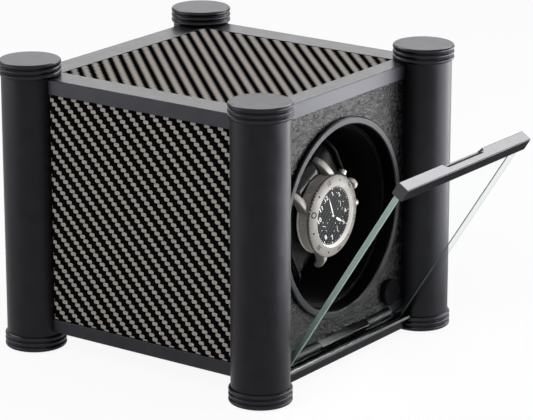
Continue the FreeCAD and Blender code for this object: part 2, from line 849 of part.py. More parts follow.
def make_cushion():
    """The cushion, its cradle and the strap round it."""
    save("watch_cushion", turned(pillow_block(cushion_half_length, 0)))
    arm_in = cushion_half_length + soft_gap
    arm_out = arm_in + cradle_arm
    low = axis_height - cradle_half_width
    high = axis_height + cradle_half_width
    pieces = [box(-arm_out, arm_out, cradle_front, cup_floor_front, low, high)]
    for side in (-1, 1):
        ends = sorted((side * arm_in, side * arm_out))
        pieces.append(box(*ends, cradle_front - cradle_arm_reach, cradle_front, low, high))
    save("cushion_cradle", turned(joined(pieces)))
    strap = pillow_block(strap_half_width, soft_gap + strap_thickness)
    strap = strap.cut(pillow_block(strap_half_width + slip, soft_gap))
    room = bezel_radius + strap_room
    strap = strap.cut(y_rod(0, axis_height, room, bezel_front, cushion_front + cushion_corner))
    save("watch_strap", turned(strap))


def make_watch():
    """The watch head: case with lugs, bezel, crown and buttons, and its crystal."""
    case = y_rod(0, axis_height, case_radius, case_front, case_back)
    pieces = [case, y_rod(0, axis_height, bezel_radius, bezel_front, case_front)]
    lug_in = strap_half_width + lug_gap
    for sx in (-1, 1):
        ends = sorted((sx * lug_in, sx * (lug_in + lug_width)))
        lug_back = case_back - lug_rise
        pieces.append(box(*ends, lug_back - lug_thickness, lug_back,
                          axis_height - lug_reach, axis_height + lug_reach))
    middle = (case_front + case_back) / 2 - crown_rise
    for angle, radius in ((-button_angle, button_radius), (0, crown_radius), (button_angle, button_radius)):
        start = (case_radius - crown_root, middle, axis_height)
        stem = rod(start, X_AXIS, radius, crown_length + crown_root)
        stem.rotate(V(0, 0, axis_height), Y_AXIS, angle)
        pieces.append(stem)
    case = joined(pieces)
    seat = bezel_front + crystal_thickness - crystal_proud
    case = case.cut(y_rod(0, axis_height, crystal_radius + slip, bezel_front, seat))
    save("watch_case", turned(case))
    crystal = y_rod(0, axis_height, crystal_radius, seat - crystal_thickness, seat)
    save("watch_crystal", crystal)


def door_box(x0, x1, out0, out1, up0, up1):
    """A box of the door, measured outwards and upwards from the hinge axis with the door shut."""
    return box(x0, x1, hinge_y - out1, hinge_y - out0, hinge_z + up0, hinge_z + up1)


def opened(shape):
    """Swings a piece of the shut door to where it stands at rest."""
    shape.rotate(V(0, hinge_y, hinge_z), X_AXIS, door_open)
    return shape


def glass_slot(half, low, high):
    """Room for an edge of the pane."""
    return door_box(-half, half, glass_out - door_slip, glass_outer + door_slip, low, high)


def make_door():
    """Pane, handle, bottom bar with its knuckle, grub screws, bumpers and hinge pin."""
    pane = door_box(-bar_half, bar_half, glass_out, glass_outer, glass_low, glass_high)
    save("door_glass", opened(pane))
    handle = door_box(-handle_half, handle_half, bar_in, bar_out, handle_low, handle_high)
    along = [edge for edge in handle.Edges if edge.BoundBox.XLength > handle_half]
    handle = handle.makeFillet(handle_round, along)
    notch_y = hinge_y - bar_in + notch_in
    notch_z = hinge_z + handle_high + notch_over
    notch = x_rod(notch_y, notch_z, notch_radius, -notch_half, notch_half)
    for side in (-1, 1):
        notch = notch.fuse(Part.makeSphere(notch_radius, V(side * notch_half, notch_y, notch_z)))
    handle = handle.cut(notch).cut(glass_slot(bar_half + door_slip, handle_low, glass_high + door_slip))
    save("door_handle", opened(handle))
    bar = door_box(-bar_half, bar_half, bar_in, bar_out, bar_low, bar_high)
    brow = [edge for edge in bar.Edges if edge.BoundBox.XLength > bar_half]
    brow = [edge for edge in brow if edge.BoundBox.YMax < hinge_y - bar_in - slip]
    brow = [edge for edge in brow if edge.BoundBox.ZMin > hinge_z + bar_high - slip]
    bar = bar.makeChamfer(bar_chamfer, brow)
    bar = bar.cut(glass_slot(bar_half, glass_low, bar_high))
    bar = bar.cut(door_box(-bar_half, bar_half, bar_in, glass_out, inner_lip_low, bar_high))
    round_part = x_rod(hinge_y, hinge_z, knuckle_radius, -knuckle_half, knuckle_half)
    web_out = glass_out - door_slip
    web = door_box(-knuckle_half, knuckle_half, web_in, web_out, web_low, knuckle_flat)
    knuckle = round_part.fuse(web)
    above = door_box(-knuckle_half, knuckle_half, -knuckle_radius, knuckle_radius,
                     knuckle_flat, knuckle_radius)
    bar = joined([bar, knuckle.cut(above)])
    bar = bar.cut(x_rod(hinge_y, hinge_z, pin_radius, -knuckle_half, knuckle_half))
    grubs = []
    middle = hinge_y - (glass_out + glass_outer) / 2
    for step in (-1, 0, 1):
        x = step * grub_pitch
        top = hinge_z + glass_low
        bar = bar.cut(z_rod(x, middle, grub_radius + thread_gap, hinge_z + bar_low, top))
        grubs.append(z_rod(x, middle, grub_radius, top - grub_length, top))
    save("door_bar", opened(bar))
    save("glass_grub_screws", opened(whole(grubs)))
    pin_half = knuckle_half + knuckle_gap + barrel_length - barrel_floor
    save("hinge_pin", opened(x_rod(hinge_y, hinge_z, pin_radius, -pin_half, pin_half)))
    bumpers = []
    bumper_tip = leather_front - thrust_gap
    for sx in (-1, 1):
        bumpers.append(y_rod(sx * bumper_place, bumper_height, bumper_radius, hinge_y - bar_in, bumper_tip))
    save("handle_bumpers", opened(whole(bumpers)))


def hinge_screw_places():
    """Two screws behind each hinge barrel."""
    level = (bottom_frame_base + plate_base) / 2
    for side in (-1, 1):
        middle = side * (knuckle_half + knuckle_gap + barrel_length / 2)
        yield middle - hinge_screw_pitch / 2, level
        yield middle + hinge_screw_pitch / 2, level


def hinge_screw(x, z, grow):
    """A small screw from inside, through the front rail and into the foot of a hinge barrel."""
    tip = -front_plane + rail_notch_depth - hinge_screw_bite
    shank = y_rod(x, z, hinge_screw_radius + grow, tip - grow, -ledge_half)
    head = y_rod(x, z, corner_head_radius, -ledge_half, -ledge_half + corner_head_height)
    return joined([shank, head])


def make_hinge():
    """The two hinge barrels on the front rail and their screws."""
    rail_face = -front_plane + rail_notch_depth
    for name, side in (("left", -1), ("right", 1)):
        near = side * (knuckle_half + knuckle_gap)
        far = near + side * barrel_length
        x0, x1 = sorted((near, far))
        barrel = x_rod(hinge_y, hinge_z, barrel_radius, x0, x1)
        foot = box(x0, x1, hinge_y, rail_face, hinge_z - barrel_radius, hinge_z + barrel_foot_rise)
        barrel = joined([barrel, foot])
        bore_far = far - side * (barrel_floor - pin_gap)
        b0, b1 = sorted((near, bore_far))
        barrel = barrel.cut(x_rod(hinge_y, hinge_z, pin_radius + pin_gap, b0, b1))
        for x, z in hinge_screw_places():
            barrel = barrel.cut(hinge_screw(x, z, thread_gap))
        save("hinge_barrel_" + name, barrel)
    save("hinge_screws", whole([hinge_screw(x, z, 0) for x, z in hinge_screw_places()]))


def make_selector():
    """The rotary switch behind the front board, and its knob."""
    switch = y_rod(knob_place, knob_height, switch_radius, board_back, board_back + switch_length)
    bush = y_rod(knob_place, knob_height, switch_bush_radius, leather_front, board_back)
    switch = joined([switch, bush])
    shaft_end = board_back + switch_length / 2
    room = y_rod(knob_place, knob_height, knob_shaft_radius + pin_gap, leather_front, shaft_end + pin_gap)
    save("selector_switch", switch.cut(room))
    face = leather_front - knob_lift
    knob = y_rod(knob_place, knob_height, knob_radius, face - knob_length, face)
    rim = [edge for edge in knob.Edges if edge.BoundBox.YMax < face - knob_length + slip]
    rim = [edge for edge in rim if edge.BoundBox.ZLength > knob_radius]
    knob = knob.makeFillet(knob_dome, rim)
    shaft = y_rod(knob_place, knob_height, knob_shaft_radius, face, shaft_end)
    save("selector_knob", joined([knob, shaft]))


def standoff_places():
    """Corners of the control board."""
    for sx in (-1, 1):
        for sy in (-1, 1):
            x = sx * (board_half_length - standoff_inset)
            yield x, board_centre + sy * (board_half_width - standoff_inset)


def make_electrics():
    """The control board with its parts, and the power inlet."""
    low = plate_top + board_lift
    high = low + board_thickness
    board = box(-board_half_length, board_half_length, board_centre - board_half_width,
                board_centre + board_half_width, low, high)
    standoffs = []
    for x, y in standoff_places():
        hole = z_rod(x, y, screw_radius + thread_gap, plate_top, high)
        board = board.cut(hole)
        standoffs.append(z_rod(x, y, standoff_radius, plate_top, low).cut(hole))
    save("control_board", board)
    save("board_standoffs", whole(standoffs))
    chip = box(-chip_half_length, chip_half_length, board_centre - chip_half_width,
               board_centre + chip_half_width, high, high + chip_height)
    parts = [chip, z_rod(capacitor_place, board_centre, capacitor_radius, high, high + capacitor_height)]
    plug_y = board_centre + plug_offset
    for x in plug_places:
        parts.append(box(x - plug_half, x + plug_half, plug_y - plug_half, plug_y + plug_half,
                         high, high + plug_height))
    save("board_parts", whole(parts))
    inner = frame_half - back_panel_thickness
    half = inlet_body_half
    body = box(inlet_place - half, inlet_place + half, inner - inlet_body_length, inner,
               inlet_height - half, inlet_height + half)
    thread = y_rod(inlet_place, inlet_height, inlet_thread_radius, inner, frame_half + inlet_proud)
    inlet = joined([body, thread])
    mouth = frame_half + inlet_proud
    bore_floor = mouth - inlet_bore_depth
    inlet = inlet.cut(y_rod(inlet_place, inlet_height, inlet_bore_radius, bore_floor, mouth))
    pin = y_rod(inlet_place, inlet_height, inlet_pin_radius, bore_floor, bore_floor + inlet_pin_length)
    inlet = joined([inlet, pin])
    save("power_inlet", inlet)
    outline = []
    for step in range(6):
        angle = math.radians(60 * step)
        outline.append((inlet_nut_radius * math.cos(angle), 0, inlet_nut_radius * math.sin(angle)))
    nut = prism(outline, (inlet_place, frame_half, inlet_height), (0, inlet_nut_thickness, 0))
    thread_room = inlet_thread_radius + thread_gap
    nut_back = frame_half + inlet_nut_thickness
    nut = nut.cut(y_rod(inlet_place, inlet_height, thread_room, frame_half, nut_back))
    save("inlet_nut", nut)


def wire(points):
    """A round wire along straight runs, each corner rounded by an arc."""
    places = [V(*point) for point in points]
    edges = []
    start = places[0]
    for before, corner, after in zip(places, places[1:], places[2:]):
        back = (before - corner).normalize()
        ahead = (after - corner).normalize()
        half = back.getAngle(ahead) / 2
        enter = corner + back * (wire_bend / math.tan(half))
        leave = corner + ahead * (wire_bend / math.tan(half))
        inward = (back + ahead).normalize()
        nearest = corner + inward * (wire_bend / math.sin(half) - wire_bend)
        edges.append(Part.LineSegment(start, enter).toShape())
        edges.append(Part.Arc(enter, nearest, leave).toShape())
        start = leave
    edges.append(Part.LineSegment(start, places[-1]).toShape())
    path = Part.Wire(edges)
    circle = Part.makeCircle(wire_radius, places[0], places[1] - places[0])
    return path.makePipeShell([Part.Wire(circle)], True, True)


def make_wiring():
    """Wires from the control board to the inlet, the motor and the selector switch."""
    plug_top = plate_top + board_lift + board_thickness + plug_height
    plug_y = board_centre + plug_offset
    over = plug_top + 2 * wire_bend
    higher = over + 3 * wire_radius
    inlet_front = frame_half - back_panel_thickness - inlet_body_length
    motor_front = drive_plate_front - motor_length
    aside = drive_plate_half + wire_bend
    to_inlet, to_motor, to_switch = plug_places
    runs = [[(to_inlet, plug_y, plug_top), (to_inlet, plug_y, over), (inlet_place, plug_y, over),
             (inlet_place, inlet_front, over)]]
    runs.append([(to_motor, plug_y, plug_top), (to_motor, plug_y, higher),
                 (-aside, plug_y - wire_bend, higher), (-aside, motor_front, higher),
                 (-motor_radius / 2, motor_front - wire_bend, motor_axis_height)])
    switch_back = board_back + switch_length
    runs.append([(to_switch, plug_y, plug_top), (to_switch, plug_y, over),
                 (aside, plug_y - wire_bend, over), (aside, switch_back + 4 * wire_bend, over),
                 (knob_place, switch_back + 2 * wire_bend, knob_height),
                 (knob_place, switch_back, knob_height)])
    save("wiring", whole([wire(run) for run in runs]))


os.makedirs("parts", exist_ok=True)
make_columns()
make_corner_screws()
make_frames()
make_panels()
make_front()
make_drive()
make_gears()
make_motor()
make_machine_screws()
make_spindle()
make_cup()
make_cushion()
make_watch()
make_door()
make_hinge()
make_selector()
make_electrics()
make_wiring()
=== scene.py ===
"""Finishes and soft pieces of a watch winder box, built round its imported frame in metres."""
import json
import math

import bmesh
import bpy
import numpy as np
from bpy.props import FloatProperty, FloatVectorProperty, IntProperty, PointerProperty
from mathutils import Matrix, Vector


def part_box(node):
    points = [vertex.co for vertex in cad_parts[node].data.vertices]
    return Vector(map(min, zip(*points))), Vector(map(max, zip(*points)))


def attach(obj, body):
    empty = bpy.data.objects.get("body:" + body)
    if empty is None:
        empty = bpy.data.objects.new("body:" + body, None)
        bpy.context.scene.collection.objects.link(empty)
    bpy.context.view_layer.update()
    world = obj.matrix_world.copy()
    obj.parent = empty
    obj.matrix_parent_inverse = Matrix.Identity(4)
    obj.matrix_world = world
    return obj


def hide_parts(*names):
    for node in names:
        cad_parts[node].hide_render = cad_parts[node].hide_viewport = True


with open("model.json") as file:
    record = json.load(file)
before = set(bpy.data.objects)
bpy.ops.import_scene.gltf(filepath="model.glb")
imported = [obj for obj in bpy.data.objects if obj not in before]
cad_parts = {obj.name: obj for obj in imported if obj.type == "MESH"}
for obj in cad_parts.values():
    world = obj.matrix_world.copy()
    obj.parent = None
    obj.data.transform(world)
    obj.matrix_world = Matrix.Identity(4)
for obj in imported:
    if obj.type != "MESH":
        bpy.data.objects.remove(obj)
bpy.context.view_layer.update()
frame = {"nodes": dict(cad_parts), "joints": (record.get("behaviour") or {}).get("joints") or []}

bl_info = {
    "name": "Watch Winder Finishes",
    "version": (1, 0, 0),
    "blender": (4, 5, 0),
    "location": "3D View > Sidebar > Winder",
    "description": "Materials, door pane, cushion and watch of a winder box, built on its packed frame",
    "category": "Object",
}

MM = 0.001
NOISE_SPAN = (0.3, 0.7)
STEPS_PER_RIB = 8
DEGREES_PER_MINUTE, DEGREES_PER_HOUR = 6, 30


def node_box(node):
    """The low and the high corner of a CAD node's box, as arrays."""
    return (np.array(corner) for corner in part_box(node))


# Places read from the frame: the rotor's axis, and how far out the cushion and the watch stand from it
cup_low, cup_high = node_box("rotor_cup")
AXIS_HEIGHT = (cup_low[2] + cup_high[2]) / 2
cushion_low, cushion_high = node_box("watch_cushion")
CUSHION_BACK, CUSHION_FRONT = -cushion_high[1], -cushion_low[1]
CUSHION_MIDDLE = (CUSHION_FRONT + CUSHION_BACK) / 2
CUSHION_HALF_DEPTH = (CUSHION_FRONT - CUSHION_BACK) / 2
watch_low, watch_high = node_box("watch_case")
CASE_BACK, BEZEL_FRONT = -watch_high[1], -watch_low[1]

# The watch and its cushion are turned by this much on the rotor, as in the CAD model
WATCH_TURN = math.radians(30)
CUSHION_HALF_LENGTH = 30.5 * MM
CUSHION_HALF_HEIGHT = 28.0 * MM
CUSHION_CORNER = 12.0 * MM


# Settings that a user may change

def size(label, words, default):
    """A length that a user may change, in metres."""
    return FloatProperty(name=label, description=words, default=default, min=0, unit="LENGTH", precision=5)


def colour(label, words, default):
    """A linear colour that a user may change."""
    return FloatVectorProperty(name=label, description=words, default=default, min=0, max=1, subtype="COLOR")


def share(label, words, default):
    """A plain share between 0 and 1."""
    return FloatProperty(name=label, description=words, default=default, min=0, max=1, subtype="FACTOR")


class CaseFinish(bpy.types.PropertyGroup):
    """Finishes of the case: metal, carbon panels and the leather front."""
    metal: colour("Metal", "Anodised aluminium of columns, frames and ring", (0.0180, 0.0181, 0.0208))
    metal_roughness: share("Metal roughness", "Gloss of the anodised aluminium", 0.46)
    door_metal: colour("Door metal", "Brushed aluminium of the door's handle and bar", (0.058, 0.058, 0.059))
    edge: size("Edge", "Rounding that the metal's edges show", 0.35 * MM)
    tow: size("Tow", "Width of one carbon tow in the twill", 2.15 * MM)
    # the light tows' colour is painted sheen, the glint their fibres catch; the dark tows are the carbon's
    # own black
    carbon_sheen_tow: colour("Light tow", "Tows that lie across", (0.31, 0.283, 0.260))
    carbon_dark: colour("Dark tow", "Tows that lie along", (0.002, 0.002, 0.0022))
    leather: colour("Front leather", "Pebbled leather on the front", (0.0035, 0.0035, 0.0037))
    pebble: size("Pebble", "Width of one pebble in the front leather", 2.6 * MM)


class DoorFinish(bpy.types.PropertyGroup):
    """The pane of the door."""
    arris: size("Arris", "Width of the ground edge of the pane", 0.5 * MM)
    corner: size("Corner", "Radius of the pane's corners", 1.5 * MM)
    edge_colour: colour("Edge glass", "Colour that shows through the pane's edges", (0.17, 0.235, 0.21))


class CushionFinish(bpy.types.PropertyGroup):
    """The cushion under the watch and the strap round it."""
    leather: colour("Cushion leather", "Soft leather of the cushion", (0.006, 0.006, 0.0068))
    pebble: size("Grain", "Size of the cushion leather's grain", 1.3 * MM)
    slack: size("Slack", "How much smaller the cushion starts before it is filled", 2.2 * MM)
    swell: size("Swell", "How far the filled leather may move", 3.2 * MM)
    pressure: FloatProperty(name="Filling", description="Pressure of the filling", default=4.0, min=0)
    piping: size("Piping", "Radius of the piping along the cushion's seams", 0.9 * MM)
    strap: colour("Strap leather", "Polished leather of the strap", (0.003, 0.003, 0.0036))
    strap_half_width: size("Strap half width", "Half the width of the strap", 10.6 * MM)
    strap_thickness: size("Strap thickness", "Thickness of the strap in its middle", 2.35 * MM)
    stitch: size("Stitch", "Length of one stitch", 2.0 * MM)


class WatchFinish(bpy.types.PropertyGroup):
    """The watch on the cushion."""
    steel: colour("Steel", "Satin steel of case and bezel", (0.56, 0.525, 0.49))
    dial: colour("Dial", "Woven dial", (0.002, 0.002, 0.0022))
    dial_print: colour("Print", "Numerals and ticks on the dial", (0.56, 0.55, 0.52))
    case_radius: size("Case radius", "Radius of the watch case", 21.1 * MM)
    bezel_radius: size("Bezel radius", "Radius of the turned bezel", 22.2 * MM)
    dial_radius: size("Dial radius", "Radius of the opening over the dial", 16.4 * MM)
    coin_ribs: IntProperty(name="Coin ribs", description="Ribs round the case flank", default=120, min=3)
    knurls: IntProperty(name="Knurls", description="Beads round the bezel", default=74, min=3)
    lug_reach: size("Lug reach", "How far the lugs reach from the axis", 26.6 * MM)
    hour_hand: size("Hour hand", "Length of the hour hand", 9.4 * MM)
    minute_hand: size("Minute hand", "Length of the minute hand", 11.0 * MM)


class StageFinish(bpy.types.PropertyGroup):
    """Floor, lamps and camera."""
    floor: colour("Floor", "Pale floor", (0.80, 0.80, 0.80))
    floor_white: share("Floor white", "How far the floor is lifted to white for the eye", 0.92)
    surround: share("Surround", "Light from all round", 0.40)
    lens: FloatProperty(name="Lens", description="Focal length of the camera in millimetres",
                        default=196.9, min=1)


# Shader helpers

def add(tree, kind, feeds=None, **settings):
    """Adds a shader node, sets it up and feeds its inputs with values or with other nodes' outputs."""
    made = tree.nodes.new("ShaderNode" + kind)
    for key, value in settings.items():
        setattr(made, key, value)
    for socket, value in (feeds or {}).items():
        if isinstance(value, bpy.types.NodeSocket):
            tree.links.new(value, made.inputs[socket])
        else:
            made.inputs[socket].default_value = value
    return made


def calc(tree, operation, *values):
    """A math node's result from one, two or three values."""
    return add(tree, "Math", dict(enumerate(values)), operation=operation).outputs[0]


def remap(tree, value, low, high, to_low, to_high, smooth=False):
    """A value carried from one span to another and held at its ends."""
    feeds = {0: value, 1: low, 2: high, 3: to_low, 4: to_high}
    kind = "SMOOTHSTEP" if smooth else "LINEAR"
    return add(tree, "MapRange", feeds, interpolation_type=kind).outputs[0]


def spread(tree, noise, to_low, to_high):
    """A noise's usual span carried to another one."""
    return remap(tree, noise, *NOISE_SPAN, to_low, to_high)


def blend_colour(tree, factor, first, second):
    """A colour between two others."""
    return add(tree, "Mix", {0: factor, 6: first, 7: second}, data_type="RGBA").outputs[2]


def scaled(rgb, factor):
    """A colour made lighter or darker."""
    return [factor * channel for channel in rgb]


def opaque(rgb, scale=1.0):
    """A colour with full alpha, made lighter or darker by a scale."""
    return (*[min(1.0, channel * scale) for channel in rgb], 1.0)


def vector(tree, operation, *vectors, **more):
    """A vector math node's outputs from its vectors and named values."""
    return add(tree, "VectorMath", {**dict(enumerate(vectors)), **more}, operation=operation).outputs


def noise(tree, place, scale, detail):
    """A noise texture's outputs."""
    return add(tree, "TexNoise", {"Vector": place, "Scale": scale, "Detail": detail}).outputs


def shared_effect(name, *inputs):
    """Turns a function, which makes a group's named outputs from its inputs, into one that hands out the
    finished group. Sockets named Vector and Normal are vectors, and the rest are plain values."""
    def add_sockets(tree, labels, way):
        """Adds a group's sockets on one side."""
        for label in labels:
            kind = "Vector" if label in ("Vector", "Normal") else "Float"
            tree.interface.new_socket(label, in_out=way, socket_type="NodeSocket" + kind)

    def keep(build):
        """Keeps the function that makes the outputs."""
        def group():
            """The finished group, built at its first use."""
            if name not in bpy.data.node_groups:
                tree = bpy.data.node_groups.new(name, "ShaderNodeTree")
                add_sockets(tree, inputs, "INPUT")
                made = build(tree, tree.nodes.new("NodeGroupInput").outputs)
                add_sockets(tree, made, "OUTPUT")
                result = tree.nodes.new("NodeGroupOutput").inputs
                for label, value in made.items():
                    tree.links.new(value, result[label])
            return bpy.data.node_groups[name]
        return group
    return keep


@shared_effect("fine grain", "Vector", "Size")
def grain_effect(tree, given):
    """Fine grain: one noise at the grain's size for the height, one far coarser for the tone."""
    scale = calc(tree, "DIVIDE", 1.0, given["Size"])
    coarse = noise(tree, given["Vector"], calc(tree, "MULTIPLY", scale, 0.03), 4.0)
    return {"Height": noise(tree, given["Vector"], scale, 3.0)[0], "Tone": coarse[0]}


@shared_effect("pebbled leather", "Vector", "Size")
def pebble_effect(tree, given):
    """Pebbled leather: cells of a warped Voronoi pattern, high inside and low in the creases between them."""
    scale = calc(tree, "DIVIDE", 1.0, given["Size"])
    warp = noise(tree, given["Vector"], calc(tree, "MULTIPLY", scale, 0.6), 2.0)
    shift = vector(tree, "SUBTRACT", warp["Color"], (0.5, 0.5, 0.5))[0]
    reach = vector(tree, "SCALE", shift, Scale=calc(tree, "MULTIPLY", given["Size"], 1.1))[0]
    feeds = {"Vector": vector(tree, "ADD", given["Vector"], reach)[0], "Scale": scale}
    edge = add(tree, "TexVoronoi", feeds, feature="DISTANCE_TO_EDGE").outputs[0]
    cell = add(tree, "TexVoronoi", feeds, feature="F1").outputs["Color"]
    own = add(tree, "SeparateColor", {0: cell}).outputs[0]
    dome = remap(tree, edge, 0.0, 0.26, 0.0, 1.0, smooth=True)
    height = calc(tree, "MULTIPLY", dome, remap(tree, own, 0.0, 1.0, 0.55, 1.0))
    return {"Height": height, "Crease": remap(tree, edge, 0.0, 0.12, 1.0, 0.0), "Cell": own}


@shared_effect("twill weave", "Across", "Along", "Tow", "Trim")
def twill_effect(tree, given):
    """Two-by-two twill: cell (i, j) shows the cross tow where (i - j) mod 4 is 2 or 3, else the long tow.
    Each float is two cells long, and rises and falls as half a sine along and across itself; the light mask,
    where the painted sheen goes, keeps what stands higher than the trim."""
    u, v = (calc(tree, "DIVIDE", given[side], given["Tow"]) for side in ("Across", "Along"))
    i, j = calc(tree, "FLOOR", u), calc(tree, "FLOOR", v)
    part_u, part_v = calc(tree, "FRACT", u), calc(tree, "FRACT", v)
    step = calc(tree, "FLOORED_MODULO", calc(tree, "SUBTRACT", i, j), 4.0)
    cross = calc(tree, "GREATER_THAN", step, 1.5)
    along_cross = calc(tree, "ADD", calc(tree, "SUBTRACT", step, 2.0), part_u)
    along_long = calc(tree, "ADD", calc(tree, "SUBTRACT", 1.0, step), part_v)

    def pick(long_value, cross_value):
        """The value of the tow that lies on top."""
        return add(tree, "Mix", {0: cross, 2: long_value, 3: cross_value}).outputs[0]

    quarter_turn = math.pi / 2
    run = calc(tree, "SINE", calc(tree, "MULTIPLY", pick(along_long, along_cross), quarter_turn))
    side = calc(tree, "SINE", calc(tree, "MULTIPLY", pick(part_u, part_v), math.pi))
    crown = calc(tree, "MULTIPLY", calc(tree, "POWER", run, 0.8), calc(tree, "POWER", side, 0.3))
    top = calc(tree, "ADD", given["Trim"], 0.16)
    body = remap(tree, crown, given["Trim"], top, 0.0, 1.0, smooth=True)
    thread = add(tree, "CombineXYZ", {0: calc(tree, "MULTIPLY", pick(v, u), 0.35),
                                      1: calc(tree, "MULTIPLY", pick(u, v), 9.0)}).outputs[0]
    return {"Light": calc(tree, "MULTIPLY", cross, body), "Height": crown,
            "Fibre": noise(tree, thread, 1.0, 2.0)[0]}


@shared_effect("soft edge", "Vector", "Radius")
def edge_effect(tree, given):
    """Softened edges: the normal of a small round on every edge, and a broken mask where that round turns, by
    which edges are painted lighter as wear and as painted highlight.
    """
    rounded = add(tree, "Bevel", {"Radius": given["Radius"]}, samples=6).outputs[0]
    flat = add(tree, "NewGeometry").outputs["True Normal"]
    turn = vector(tree, "DOT_PRODUCT", rounded, flat)["Value"]
    rub = noise(tree, given["Vector"], 900.0, 3.0)[0]
    mask = remap(tree, turn, 0.97, 0.72, 0.0, 1.0)
    wear_and_highlight = calc(tree, "MULTIPLY", mask, remap(tree, rub, 0.35, 0.65, 0.3, 1.0))
    return {"Normal": rounded, "Wear": wear_and_highlight}


@shared_effect("turning marks", "Vector", "Size")
def lathe_effect(tree, given):
    """Turning marks: noise that depends on the distance from the rotor's axis and hardly on the angle."""
    middle = vector(tree, "SUBTRACT", given["Vector"], (0, 0, AXIS_HEIGHT))[0]
    flat = vector(tree, "MULTIPLY", middle, (1, 0, 1))[0]
    ring = calc(tree, "DIVIDE", vector(tree, "LENGTH", flat)["Value"], given["Size"])
    way = vector(tree, "SCALE", vector(tree, "NORMALIZE", flat)[0], Scale=2.0)[0]
    place = vector(tree, "ADD", way, add(tree, "CombineXYZ", {1: ring}).outputs[0])[0]
    return {"Height": noise(tree, place, 1.0, 2.0)[0], "Tone": noise(tree, given["Vector"], 60.0, 3.0)[0]}


def use(tree, group, *feeds):
    """Places a shared effect in a material and feeds its inputs in their order."""
    return add(tree, "Group", dict(enumerate(feeds)), node_tree=group()).outputs


def new_finish(name, **sockets):
    """A fresh material with its Principled shader: constant values go straight onto the shader's sockets."""
    material = bpy.data.materials.new(name)
    material.use_nodes = True
    tree = material.node_tree
    shader = tree.nodes["Principled BSDF"]
    for socket, value in sockets.items():
        shader.inputs[socket.replace("_", " ")].default_value = value
    place = add(tree, "TexCoord").outputs["Object"]
    return material, tree, shader, place


def cover(tree, shader, base, rough):
    """Feeds the shader's colour and its roughness."""
    for socket, value in (("Base Color", base), ("Roughness", rough)):
        tree.links.new(value, shader.inputs[socket])


def mix_surface(tree, factor, first, second):
    """Makes the material's surface a mix of two shaders."""
    mixed = add(tree, "MixShader", {0: factor, 1: first, 2: second}).outputs[0]
    tree.links.new(mixed, tree.nodes["Material Output"].inputs["Surface"])


def bump(tree, shader, height, distance, strength=1.0, normal=None):
    """Feeds the shader's normal from a height in metres, over an edge's own normal where there is one."""
    feeds = {"Height": height, "Distance": distance, "Strength": strength}
    if normal is not None:
        feeds["Normal"] = normal
    tree.links.new(add(tree, "Bump", feeds).outputs[0], shader.inputs["Normal"])


def grained(name, rgb, grain, rough, depth=0.02 * MM, edge=0.0, tone=0.18, worn=1.6, **sockets):
    """A plain finish with grain: tone varies over it, roughness with the tone, and edges are painted lighter,
    partly as wear and partly as painted highlight.
    """
    material, tree, shader, place = new_finish(name, **sockets)
    mark = use(tree, grain_effect, place, grain)
    base = blend_colour(tree, spread(tree, mark["Tone"], 0.0, 1.0),
                        opaque(rgb, 1 - tone), opaque(rgb, 1 + tone))
    normal = None
    if edge:
        soft = use(tree, edge_effect, place, edge)
        # edges painted lighter: partly wear, partly painted highlight
        base = blend_colour(tree, soft["Wear"], base, opaque(rgb, worn))
        normal = soft["Normal"]
    cover(tree, shader, base, spread(tree, mark["Tone"], rough - 0.02, rough + 0.02))
    bump(tree, shader, mark["Height"], depth, normal=normal)
    return material


def leather(name, rgb, pebble, rough, depth, stretch=(1, 1, 1), **sockets):
    """Leather: pebbles as height, creases painted darker as painted shade and tops lighter, each pebble with
    its own gloss.
    """
    material, tree, shader, place = new_finish(name, **sockets)
    long_way = add(tree, "Mapping", {"Vector": place, "Scale": stretch}).outputs[0]
    skin = use(tree, pebble_effect, long_way, pebble)
    fine = use(tree, grain_effect, place, pebble * 0.12)
    # painted shade: the creases darker, the pebble tops lighter
    base = blend_colour(tree, skin["Crease"], opaque(rgb, 1.25), opaque(rgb, 0.35))
    cover(tree, shader, base, remap(tree, skin["Cell"], 0.0, 1.0, rough - 0.10, rough + 0.12))
    height = calc(tree, "MULTIPLY_ADD", fine["Height"], 0.15, skin["Height"])
    bump(tree, shader, height, depth)
    return material


def clear_glass(name, smear_size, first, second, shade, **sockets):
    """Clear glass with a faint smear in its tint, that lets light through to what stands behind it."""
    material, tree, shader, place = new_finish(name, Transmission_Weight=1.0, Roughness=0.0, **sockets)
    smear = use(tree, grain_effect, place, smear_size)
    tree.links.new(blend_colour(tree, smear["Tone"], first, second), shader.inputs["Base Color"])
    through = add(tree, "BsdfTransparent", {0: shade}).outputs[0]
    mix_surface(tree, add(tree, "LightPath").outputs["Is Shadow Ray"], shader.outputs[0], through)
    return material


# Mesh helpers

def grid_shell(points, wrap_rows=False, wrap_columns=True, caps=True):
    """Quads over a rows x columns grid of points; a wrapped side joins its end to its start, and caps close
    the ends. Gives the points and blocks of faces, each block an array with a row for every face."""
    rows, columns = points.shape[:2]
    i = np.arange(rows if wrap_rows else rows - 1)
    j = np.arange(columns if wrap_columns else columns - 1)
    i, j = (index.ravel() for index in np.meshgrid(i, j, indexing="ij"))
    down, right = (i + 1) % rows, (j + 1) % columns
    quads = (i * columns + j, i * columns + right, down * columns + right, down * columns + j)
    blocks = [np.stack(quads, -1)]
    if caps and wrap_columns and not wrap_rows:
        ring = np.arange(columns)[None]
        blocks += [ring[:, ::-1], ring + (rows - 1) * columns]
    return points.reshape(-1, 3), blocks


